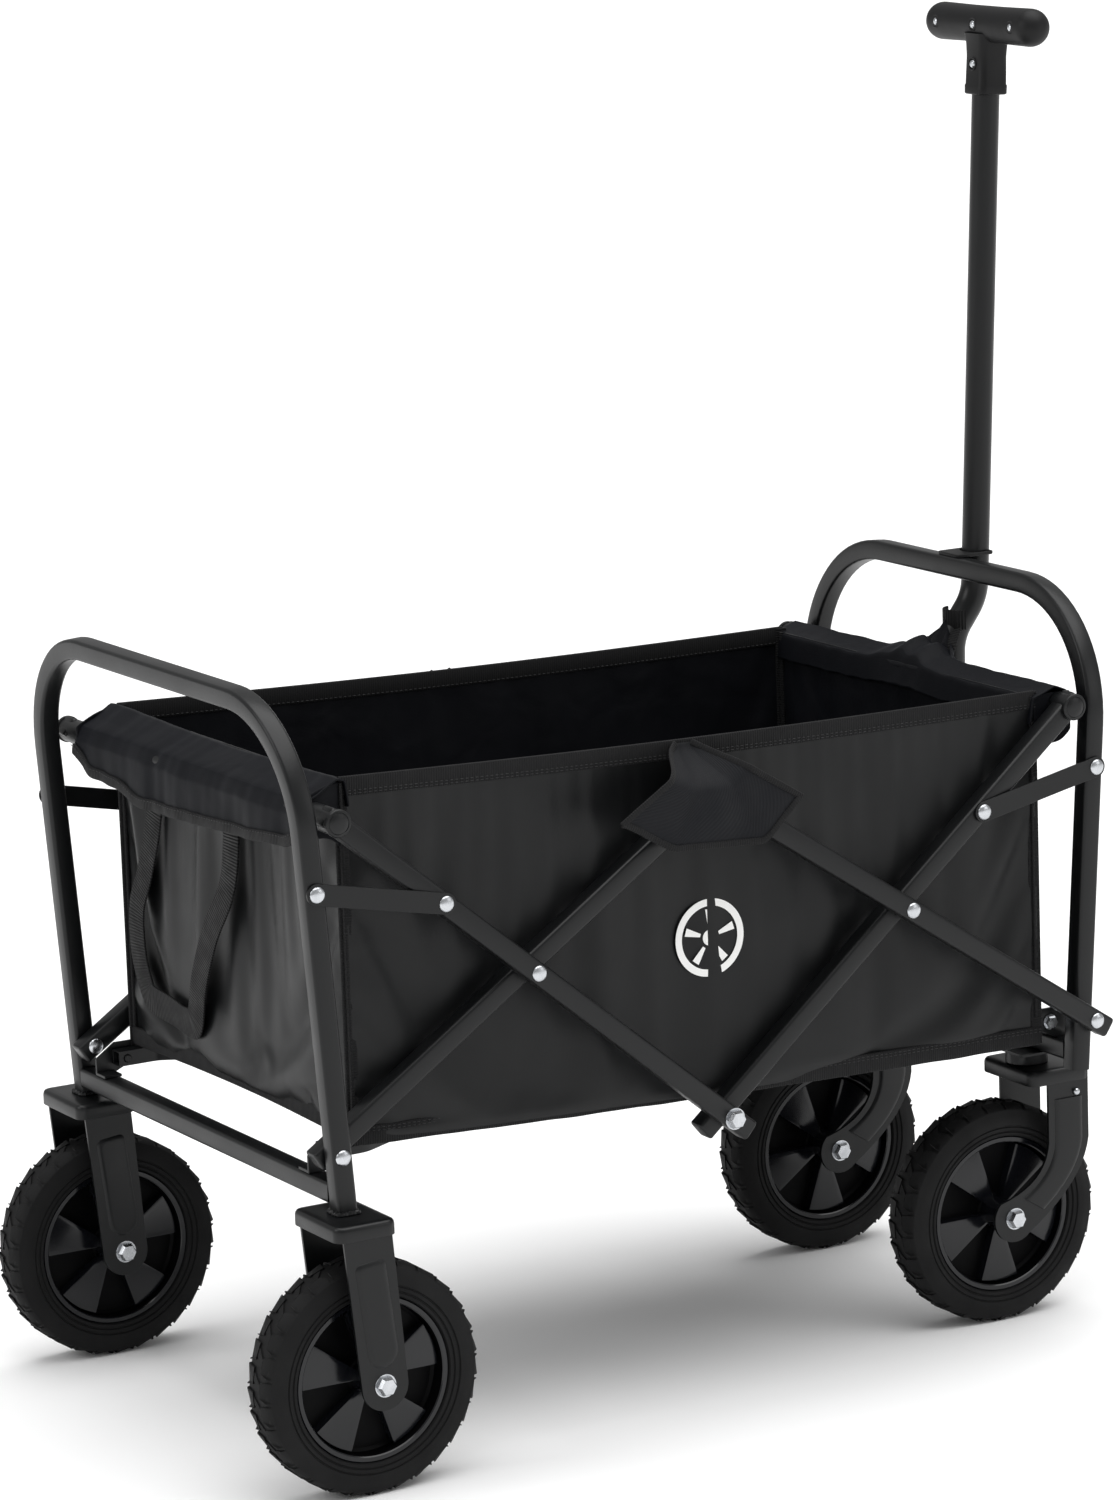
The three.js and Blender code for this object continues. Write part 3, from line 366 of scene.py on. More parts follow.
class Finishes:
    """Every finish of the wagon."""

    def __init__(self) -> None:
        """Makes the materials once."""
        # Polyester powder coat, baked: satin black with a fine orange peel that softens highlights.
        self.powder = Grained(
            "satin_powder_coat", "#0b0c0d", "#101112", 0.3, 0.4, specular=0.3, mottle=60, relief=0.05,
            grain=1.6
        ).make()
        # Zinc-plated steel, tumbled: bright, with a slightly uneven sheen.
        self.zinc = Grained(
            "bright_zinc_plate", "#c9cbce", "#b4b7bb", 0.2, 0.34, metallic=1.0, mottle=6, relief=0.02,
            grain=0.8
        ).make()
        # Moulded EVA foam rubber: dull black with faint pores.
        self.rubber = Grained(
            "foam_rubber", "#0d0d0d", "#121213", 0.6, 0.78, specular=0.2, mottle=25, relief=0.09, grain=1.2
        ).make()
        # The hub's web, from an unpolished part of the mould: matte, and given a darker colour and a weaker
        # reflection than the gloss hub as painted shade in the sunk web between the blades.
        self.recess_painted_shade = Grained(
            "sunk_abs", "#030304", "#050506", 0.45, 0.6, specular=0.08, mottle=30, relief=0.02, grain=2.0
        ).make()
        # Injection-moulded ABS, polished mould: deep gloss with faint flow waves.
        self.gloss = Grained(
            "gloss_abs", "#0b0c0f", "#0f1014", 0.14, 0.22, specular=0.4, mottle=30, relief=0.03, grain=9.0
        ).make()
        # Polypropylene from a spark-eroded mould: fine matte grain.
        self.plastic = Grained(
            "textured_polypropylene", "#0c0c0d", "#101011", 0.46, 0.58, specular=0.25, mottle=30,
            relief=0.06, grain=0.9
        ).make()
        # 600-denier polyester with a PVC-coated face; threads of 0.5 mm are drawn at 1.1 mm to show.
        self.canvas = Woven(
            "coated_polyester", "#090a0b", "#0e0f10", 0.34, 0.5, specular=0.26, mottle=90, relief=0.035,
            rumple=0.35
        ).make()
        # The same cloth's uncoated side, dyed blue-black: duller, with a little sheen.
        self.lining = Woven(
            "dyed_lining", "#07080b", "#0c0d12", 0.55, 0.7, specular=0.13, mottle=70, relief=0.05,
            sheen=0.015,
            sheen_tint="#8f9bb8", rumple=2.2,
        ).make()
        # Bias binding: narrow ribbed polyester tape.
        self.tape = Woven(
            "binding_tape", "#101011", "#161617", 0.7, 0.85, specular=0.22, mottle=12, relief=0.25,
            weave=Weave.RIBBED, pitch=2.0,
            sheen=0.03,
        ).make()
        # Polypropylene webbing: heavy cross ribs.
        self.webbing = Woven(
            "ribbed_webbing", "#0a0a0b", "#0f0f10", 0.55, 0.75, specular=0.22, mottle=15, relief=0.5,
            weave=Weave.RIBBED, pitch=2.4,
            sheen=0.02,
        ).make()
        # Oxford nylon of the gussets: an open twill that looks greyer than the panels.
        self.oxford = Woven(
            "oxford_nylon", "#0f1013", "#15161a", 0.65, 0.8, specular=0.18, mottle=30, relief=0.2,
            weave=Weave.TWILL, pitch=1.8,
            sheen=0.03,
        ).make()
        # Bonded sewing thread, a shade lighter than the cloth.
        self.thread = Grained(
            "bonded_thread", "#1a1a1b", "#232324", 0.6, 0.7, mottle=5, relief=0.02, grain=0.5
        ).make()
        # Screen-printed ink on the coated cloth.
        self.ink = Grained(
            "white_screen_ink", "#ececea", "#f4f4f2", 0.55, 0.65, mottle=12, relief=0.02, grain=0.9
        ).make()
        # Painted studio floor: plain and pale.
        self.floor = Grained(
            "studio_floor", "#fafafa", "#fcfcfc", 0.75, 0.85, mottle=500, relief=0.01, grain=4.0
        ).make()


# ---- Mesh drafting ----


def rounded_square(size: float, radius: float, steps: int = 3) -> Outline:
    """A square's outline with round corners, counter-clockwise.

    Args:
        size: width over the flats.
        radius: radius of the corners.
        steps: straight bits in each corner.

    Returns:
        The outline's points.
    """
    return rounded_box(size, size, radius, steps)


def rounded_box(width: float, height: float, radius: float, steps: int = 3) -> Outline:
    """A rectangle's outline with round corners, about its middle, counter-clockwise."""
    points = []
    for corner in range(4):
        x = (1, -1, -1, 1)[corner] * (width / 2 - radius)
        y = (1, 1, -1, -1)[corner] * (height / 2 - radius)
        for step in range(steps + 1):
            angle = math.pi / 2 * (corner + step / steps)
            points.append((x + radius * math.cos(angle), y + radius * math.sin(angle)))
    return points


def arc(x: float, z: float, radius: float, start: float, end: float, steps: int) -> Outline:
    """Points along an arc about a centre, both ends among them."""
    angles = [start + (end - start) * step / steps for step in range(steps + 1)]
    return [(x + radius * math.cos(angle), z + radius * math.sin(angle)) for angle in angles]


def circle(radius: float, sides: int = 24) -> Outline:
    """A circle's outline, counter-clockwise."""
    return [
        (radius * math.cos(2 * math.pi * i / sides), radius * math.sin(2 * math.pi * i / sides))
        for i in range(sides)
    ]


@dataclass
class Route:
    """A line in space with a direction at each of its stations."""

    stations: list[Vector]
    directions: list[Vector]

    @classmethod
    def bent(cls, corners: Sequence[Vector], radius: float, steps: int = 14) -> "Route":
        """Straight runs joined by arcs, as a tube bender makes them.

        Args:
            corners: the ends and the corner points.
            radius: bend radius of the middle line.
            steps: straight bits in each bend.

        Returns:
            The route.
        """
        stations = [corners[0]]
        directions = [(corners[1] - corners[0]).normalized()]
        for before, corner, after in zip(corners, corners[1:], corners[2:]):
            into = (corner - before).normalized()
            out = (after - corner).normalized()
            turn = into.angle(out)
            start = corner - into * radius * math.tan(turn / 2)
            side = (out - into * out.dot(into)).normalized()
            for step in range(steps + 1):
                angle = turn * step / steps
                at = start + into * radius * math.sin(angle) + side * radius * (1 - math.cos(angle))
                stations.append(at)
                directions.append(into * math.cos(angle) + side * math.sin(angle))
        stations.append(corners[-1])
        directions.append((corners[-1] - corners[-2]).normalized())
        return cls(stations, directions)

    @classmethod
    def smooth(cls, points: Sequence[Vector], steps: int = 6) -> "Route":
        """A soft curve through points, as a strap takes."""
        padded = [points[0] * 2 - points[1], *points, points[-1] * 2 - points[-2]]
        stations = []
        for a, b, c, d in zip(padded, padded[1:], padded[2:], padded[3:]):
            for step in range(steps):
                t = step / steps
                square, cube = 2 * a - 5 * b + 4 * c - d, 3 * b - a - 3 * c + d
                stations.append(0.5 * (2 * b + (c - a) * t + square * t**2 + cube * t**3))
        stations.append(points[-1])
        ahead = [*stations[1:], stations[-1] * 2 - stations[-2]]
        behind = [stations[0] * 2 - stations[1], *stations[:-1]]
        return cls(stations, [(a - b).normalized() for a, b in zip(ahead, behind)])


class Draft:
    """Points and faces of one piece, gathered before it is made a mesh."""

    def __init__(self) -> None:
        """Starts empty."""
        self.points: list[Vector] = []
        self.faces: list[list[int]] = []
        self.flat: Outline = []

    def rings(self, rings: Sequence[Sequence[Vector]], closed: bool = True, caps: bool = True) -> None:
        """Joins rings of points with quads.

        Args:
            rings: rings with the same number of points each.
            closed: whether each ring's last point joins its first.
            caps: whether the first and the last ring are filled.
        """
        base = len(self.points)
        count = len(rings[0])
        for ring in rings:
            self.points.extend(ring)
        span = count if closed else count - 1
        for row in range(len(rings) - 1):
            for i in range(span):
                a = base + row * count + i
                b = base + row * count + (i + 1) % count
                self.faces.append([a, b, b + count, a + count])
        if caps:
            last = base + (len(rings) - 1) * count
            self.faces.append([base + i for i in reversed(range(count))])
            self.faces.append([last + i for i in range(count)])

    def sweep(self, route: Route, section: Outline, up: Vector) -> None:
        """Draws a section along a route.

        Args:
            route: the section's middle line.
            section: the section's outline, across and up.
            up: the direction that the section's second number points in.
        """
        rings = []
        for at, along in zip(route.stations, route.directions):
            side = along.cross(up).normalized()
            rise = side.cross(along)
            rings.append([at + side * u + rise * v for u, v in section])
        self.rings(rings)

    def lathe(self, profile: Outline, centre: Vector, steps: int, axis: str = "Y") -> None:
        """Turns a profile of radius and height, which starts and ends on the axis or closes."""
        rings = []
        for r, h in profile:
            ring = []
            for i in range(steps):
                angle = 2 * math.pi * i / steps
                c, s = r * math.cos(angle), r * math.sin(angle)
                ring.append(centre + (Vector((c, h, s)) if axis == "Y" else Vector((c, s, h))))
            rings.append(ring)
        self.rings(rings, caps=False)

    def plate(self, outline: Outline, low: float, high: float, axis: str = "Y") -> None:
        """Gives an outline thickness along Y, or along Z."""
        def at(u: float, v: float, h: float) -> Vector:
            return Vector((u, h, v)) if axis == "Y" else Vector((u, v, h))

        self.rings([[at(u, v, h) for u, v in outline] for h in (low, high)])

    def tray(
        self, centre: Vector, width: float, length: float, radius: float,
        steps: Iterable[tuple[float, float]],
    ) -> None:
        """Stacks round-cornered rectangles, each given as its inset and its height over the centre."""
        rings = []
        for inset, height in steps:
            corner = max(radius - inset, 0.4)
            outline = rounded_box(width - 2 * inset, length - 2 * inset, corner, 5)
            rings.append([centre + Vector((u, v, height)) for u, v in outline])
        self.rings(rings)

    def sheet(self, columns: int, rows: int, place: Place, width: float, height: float) -> None:
        """Lays a grid over a surface, with a flat map in metres.

        Args:
            columns: quads along the first share.
            rows: quads along the second share.
            place: the point at two shares from 0 to 1.
            width: cut width, for the flat map.
            height: cut height, for the flat map.
        """
        base = len(self.points)
        for j in range(rows + 1):
            for i in range(columns + 1):
                self.points.append(place(i / columns, j / rows))
                self.flat.append((i / columns * width * MM, j / rows * height * MM))
        for j in range(rows):
            for i in range(columns):
                a = base + j * (columns + 1) + i
                self.faces.append([a, a + 1, a + columns + 2, a + columns + 1])

    def ribbon(self, route: Route, width: float, thick: float, facing: Vector | Facing) -> None:
        """Draws a flat strap along a route, closed all round, with a flat map.

        Args:
            route: the strap's middle line.
            width: its width.
            thick: its thickness.
            facing: the way its face looks, everywhere or at a share of its length.
        """
        base = len(self.points)
        outline = rounded_box(width, thick, thick * 0.45, 2)
        count = len(outline)
        walked = 0.0
        for i, (at, along) in enumerate(zip(route.stations, route.directions)):
            if i:
                walked += (at - route.stations[i - 1]).length
            look = facing(i / (len(route.stations) - 1)) if callable(facing) else facing
            side = along.cross(look).normalized()
            face = side.cross(along)
            for u, v in outline:
                self.points.append(at + side * u + face * v)
                self.flat.append((walked * MM, u * MM))
            if i:
                for k in range(count):
                    a, b = base + (i - 1) * count + k, base + (i - 1) * count + (k + 1) % count
                    self.faces.append([a, b, b + count, a + count])
        self.faces.append([base + k for k in reversed(range(count))])
        last = base + (len(route.stations) - 1) * count
        self.faces.append([last + k for k in range(count)])

    def build(self, name: str, *finishes: Material, crease: float = 38.0) -> Object:
        """Makes the mesh object, welded and facing out.

        Args:
            name: the piece's name.
            *finishes: its materials, the first of which covers it.
            crease: edges sharper than this many degrees stay sharp.

        Returns:
            The new object, at the origin, with its place in its mesh.
        """
        mesh = bpy.data.meshes.new(name)
        shift = Vector((MIDDLE, 0, 0))
        mesh.from_pydata([p * MM + shift for p in self.points], [], self.faces)
        if self.flat:
            layer = mesh.uv_layers.new(name="UVMap")
            for loop in mesh.loops:
                layer.data[loop.index].uv = self.flat[loop.vertex_index]
        form = bmesh.new()
        form.from_mesh(mesh)
        bmesh.ops.remove_doubles(form, verts=form.verts, dist=0.00002)
        bmesh.ops.recalc_face_normals(form, faces=form.faces)
        form.to_mesh(mesh)
        form.free()
        mesh.shade_smooth()
        mesh.set_sharp_from_angle(angle=math.radians(crease))
        for finish in finishes:
            mesh.materials.append(finish)
        return put(name, mesh)


def soften(piece: Object, width: float, segments: int = 2) -> Object:
    """Rounds a piece's sharp edges.

    Args:
        piece: the piece.
        width: width of the rounding.
        segments: straight bits across it.

    Returns:
        The same piece.
    """
    bevel = piece.modifiers.new("edges", "BEVEL")
    bevel.width = width * MM
    bevel.segments = segments
    bevel.limit_method = "ANGLE"
    bevel.angle_limit = math.radians(40)
    bevel.harden_normals = True
    return piece


def attach(piece: Object, body: str, slot: str, *nodes: str) -> Object:
    """Lets a piece ride on a body and hides the CAD nodes that it replaces.

    Args:
        piece: the piece, in place.
        body: the body it moves with.
        slot: the record's material slot; not used.
        *nodes: CAD nodes that it replaces.

    Returns:
        The same piece.
    """
    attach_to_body(piece, body)
    if nodes:
        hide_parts(*nodes)
    log.info("%s rides on %s", piece.name, body)
    return piece


def refined(node: str, finish: Material, body: str, slot: str, edge: float = 0.7) -> Object:
    """A smooth, round-edged stand-in for a CAD node whose shape is right.

    Args:
        node: the node's name.
        finish: its material.
        body: the body it rides on.
        slot: the record's material slot.
        edge: width of its rounded edges.

    Returns:
        The new piece.
    """
    mesh = frame["nodes"][node].data.copy()
    mesh.materials.clear()
    form = bmesh.new()
    form.from_mesh(mesh)
    bmesh.ops.remove_doubles(form, verts=form.verts, dist=0.00002)
    bmesh.ops.dissolve_limit(form, angle_limit=math.radians(1.5), verts=form.verts, edges=form.edges)
    form.to_mesh(mesh)
    form.free()
    mesh.shade_smooth()
    mesh.set_sharp_from_angle(angle=math.radians(38))
    mesh.materials.append(finish)
    return attach(soften(put(node + "_finished", mesh), edge), body, slot, node)


# ---- Geometry Nodes ----


def freeze(piece: Object) -> Object:
    """Applies a piece's modifiers to its mesh."""
    bpy.context.view_layer.update()
    evaluated = piece.evaluated_get(bpy.context.evaluated_depsgraph_get())
    mesh = bpy.data.meshes.new_from_object(evaluated)
    piece.modifiers.clear()
    piece.data = mesh
    mesh.name = piece.name
    return piece


class Recipe:
    """A Geometry Nodes tree with named inputs, used once on each piece that it makes."""

    def __init__(self, name: str) -> None:
        """Starts the tree with its geometry input and output.

        Args:
            name: the tree's name.
        """
        self.tree = bpy.data.node_groups.new(name, "GeometryNodeTree")
        for way in ("INPUT", "OUTPUT"):
            self.tree.interface.new_socket("Geometry", in_out=way, socket_type="NodeSocketGeometry")
        self.start = self.tree.nodes.new("NodeGroupInput")

    def size(self, name: str, kind: str = "Float") -> NodeSocket:
        """Adds a named input.

        Args:
            name: the input's name.
            kind: its socket's kind.

        Returns:
            The socket that gives its value inside the tree.
        """
        self.tree.interface.new_socket(name, in_out="INPUT", socket_type="NodeSocket" + kind)
        return self.start.outputs[name]

    def add(self, kind: str, inputs: dict | None = None, **settings) -> Node:
        """Adds a node to the tree."""
        return add_node(self.tree, kind, inputs, **settings)

    def finish(self, instances: NodeSocket) -> None:
        """Ends the tree: instances made real, with the material set."""
        finish = self.size("Finish", "Material")
        real = self.add("GeometryNodeRealizeInstances", {0: instances})
        painted = self.add("GeometryNodeSetMaterial", {"Geometry": real.outputs[0], "Material": finish})
        end = self.tree.nodes.new("NodeGroupOutput")
        self.tree.links.new(painted.outputs[0], end.inputs[0])

    def copy_on(self, points: NodeSocket, shape: NodeSocket, turn: Node) -> None:
        """Sets a shape on points, each turned by a rotation, and ends the tree."""
        places = {"Points": points, "Instance": shape, "Rotation": turn.outputs[0]}
        self.finish(self.add("GeometryNodeInstanceOnPoints", places).outputs[0])

    def scatter(self, head: Node) -> None:
        """Sets a head on the points, standing the way that each of them faces."""
        facing = self.add("GeometryNodeInputNamedAttribute", {"Name": "facing"}, data_type="FLOAT_VECTOR")
        turned = self.add("FunctionNodeAlignRotationToVector", {"Vector": facing.outputs[0]}, axis="Z")
        self.copy_on(self.start.outputs["Geometry"], head.outputs[0], turned)

    def cook(self, piece: Object, **values) -> Object:
        """Runs the tree on a piece and keeps its result as a plain mesh.

        Args:
            piece: the piece that holds the points or lines.
            **values: a value for each named input, with underscores for spaces.

        Returns:
            The same piece with the new mesh.
        """
        modifier = piece.modifiers.new("recipe", "NODES")
        modifier.node_group = self.tree
        for item in self.tree.interface.items_tree:
            key = item.name.replace(" ", "_")
            if item.item_type == "SOCKET" and item.in_out == "INPUT" and key in values:
                modifier[item.identifier] = values[key]
        return freeze(piece)


def fastener_recipe() -> Recipe:
    """Heads on points: a domed rivet or a chamfered hexagon on a washer.

    Returns:
        The tree, with inputs for the head's sides, radius and height and the washer's radius.
    """
    made = Recipe("Fasteners")
    sides = made.size("Sides", "Int")
    radius = made.size("Head Radius")
    height = made.size("Head Height")
    crown = made.size("Crown Radius")
    washer = made.size("Washer Radius")
    half = made.add("ShaderNodeMath", {0: height, 1: 0.5}, operation="MULTIPLY").outputs[0]
    seat = made.add("ShaderNodeMath", {0: height, 1: 0.18}, operation="MULTIPLY").outputs[0]
    lower = made.add("GeometryNodeMeshCylinder", {"Vertices": sides, "Radius": radius, "Depth": half})
    lifted = made.add("ShaderNodeCombineXYZ", {"Z": half})
    quarter = made.add("ShaderNodeMath", {0: half, 1: 0.5}, operation="MULTIPLY").outputs[0]
    raised = made.add("ShaderNodeCombineXYZ", {"Z": quarter})
    lower_up = made.add(
        "GeometryNodeTransform", {"Geometry": lower.outputs[0], "Translation": raised.outputs[0]}
    )
    upper = made.add(
        "GeometryNodeMeshCone",
        {
            "Vertices": sides, "Side Segments": 1, "Radius Bottom": radius, "Radius Top": crown,
            "Depth": half,
        },
    )
    upper_up = made.add(
        "GeometryNodeTransform", {"Geometry": upper.outputs[0], "Translation": lifted.outputs[0]}
    )
    disc = made.add("GeometryNodeMeshCylinder", {"Vertices": 24, "Radius": washer, "Depth": seat})
    head = made.add("GeometryNodeJoinGeometry")
    for piece in (lower_up, upper_up, disc):
        made.tree.links.new(piece.outputs[0], head.inputs[0])
    made.scatter(head)
    return made


def dome_recipe() -> Recipe:
    """Low domes on points: the heads of set rivets.

    Returns:
        The tree, with inputs for the head's radius and height.
    """
    made = Recipe("Rivet Heads")
    radius = made.size("Head Radius")
    height = made.size("Head Height")
    ball = made.add("GeometryNodeMeshUVSphere", {"Segments": 24, "Rings": 10, "Radius": 1.0})
    squeeze = made.add("ShaderNodeCombineXYZ", {"X": radius, "Y": radius, "Z": height})
    dome = made.add("GeometryNodeTransform", {"Geometry": ball.outputs[0], "Scale": squeeze.outputs[0]})
    smooth = made.add("GeometryNodeSetShadeSmooth", {0: dome.outputs[0]})
    made.scatter(smooth)
    return made


def wheel_recipe() -> Recipe:
    """Copies of a piece turned round the Y axis, such as tread lugs or hub blades.

    Returns:
        The tree, with inputs for the piece and the number of copies.
    """
    made = Recipe("Round The Wheel")
    copies = made.size("Copies", "Int")
    piece = made.size("Piece", "Object")
    where = made.size("Axle", "Vector")
    info = made.add("GeometryNodeObjectInfo", {"Object": piece})
    line = made.add("GeometryNodeMeshLine", {"Count": copies, "Start Location": where, "Offset": (0, 0, 0)})
    index = made.add("GeometryNodeInputIndex")
    turn = made.add("ShaderNodeMath", {0: math.tau, 1: copies}, operation="DIVIDE")
    angle = made.add("ShaderNodeMath", {0: index.outputs[0], 1: turn.outputs[0]}, operation="MULTIPLY")
    euler = made.add("ShaderNodeCombineXYZ", {"Y": angle.outputs[0]})
    made.copy_on(line.outputs[0], info.outputs["Geometry"], euler)
    return made


def stitch_recipe() -> Recipe:
    """Stitches along lines.

    Returns:
        The tree, with inputs for the pitch, the stitch's length and the thread's thickness.
    """
    made = Recipe("Stitches")
    pitch = made.size("Pitch")
    length = made.size("Stitch Length")
    thread = made.size("Thread Thickness")
    curve = made.add("GeometryNodeMeshToCurve", {"Mesh": made.start.outputs["Geometry"]})
    spaced = made.add(
        "GeometryNodeResampleCurve", {"Curve": curve.outputs[0], "Length": pitch}, mode="LENGTH"
    )
    ball = made.add("GeometryNodeMeshUVSphere", {"Segments": 6, "Rings": 4, "Radius": 0.5})
    squeeze = made.add("ShaderNodeCombineXYZ", {"X": length, "Y": thread, "Z": thread})
    shape = made.add("GeometryNodeTransform", {"Geometry": ball.outputs[0], "Scale": squeeze.outputs[0]})
    smooth = made.add("GeometryNodeSetShadeSmooth", {0: shape.outputs[0]})
    tangent = made.add("GeometryNodeInputTangent")
    turned = made.add("FunctionNodeAlignRotationToVector", {"Vector": tangent.outputs[0]}, axis="X")
    made.copy_on(spaced.outputs[0], smooth.outputs[0], turned)
    return made


@dataclass
class Workshop:
    """The finishes and the recipes that every sub-assembly uses."""

    finishes: Finishes = field(default_factory=Finishes)
    hexes: Recipe = field(default_factory=fastener_recipe)
    domes: Recipe = field(default_factory=dome_recipe)
    round_wheel: Recipe = field(default_factory=wheel_recipe)
    stitching: Recipe = field(default_factory=stitch_recipe)

    def coat(self, draft: Draft, name: str, body: str, *nodes: str) -> None:
        """Makes a powder-coated steel piece and sets it on a body."""
        attach(draft.build(name, self.finishes.powder), body, "frame", *nodes)

    def trim(self, draft: Draft, name: str, body: str, finish: Material) -> Object:
        """Makes a tape, a strap or a binding and sets it on a body."""
        return attach(draft.build(name, finish), body, "webbing")

    def points(self, name: str, places: Heads) -> Object:
        """Makes loose points with the way that each one faces.

        Args:
            name: the piece's name.
            places: points and facing directions.

        Returns:
            The new object.
        """
        mesh = bpy.data.meshes.new(name)
        shift = Vector((MIDDLE, 0, 0))
        mesh.from_pydata([at * MM + shift for at, _ in places], [], [])
        facing = mesh.attributes.new("facing", "FLOAT_VECTOR", "POINT")
        facing.data.foreach_set("vector", [number for _, way in places for number in way])
        return put(name, mesh)

    def rivets(self, name: str, body: str, places: Heads, radius: float = 6.2) -> None:
        """Sets domed rivet heads on a body."""
        piece = self.domes.cook(
            self.points(name, places), Head_Radius=radius * MM, Head_Height=2.4 * MM,
            Finish=self.finishes.zinc
        )
        attach(piece, body, "zinc")

    def bolts(
        self, name: str, body: str, places: Heads, across_corners: float, height: float
    ) -> Object:
        """Sets hexagon heads on washers on a body.

        Args:
            name: the piece's name.
            body: the body it rides on.
            places: points and facing directions.
            across_corners: the head's size.
            height: the head's height.

        Returns:
            The new piece.
        """
        piece = self.hexes.cook(
            self.points(name, places),
            Sides=6,
            Head_Radius=across_corners / 2 * MM,
            Head_Height=height * MM,
            Crown_Radius=across_corners * 0.4 * MM,
            Washer_Radius=across_corners * 0.56 * MM,
            Finish=self.finishes.zinc,
        )
        return attach(piece, body, "zinc")

    def stitches(self, name: str, lines: Sequence[Sequence[Vector]], pitch: float = 4.2) -> Object:
        """Sews rows of stitches along lines.

        Args:
            name: the piece's name.
            lines: each row's points.
            pitch: from one stitch to the next.

        Returns:
            The new piece, not yet on a body.
        """
        points: list[Vector] = []
        edges: list[tuple[int, int]] = []
        for line in lines:
            base = len(points)
            points.extend(line)
            edges.extend((base + i, base + i + 1) for i in range(len(line) - 1))
        mesh = bpy.data.meshes.new(name)
        shift = Vector((MIDDLE, 0, 0))
        mesh.from_pydata([at * MM + shift for at in points], edges, [])
        return self.stitching.cook(
            put(name, mesh),
            Pitch=pitch * MM,
            Stitch_Length=pitch * 0.72 * MM,
            Thread_Thickness=0.75 * MM,
            Finish=self.finishes.thread,
        )


# ---- Frames ----


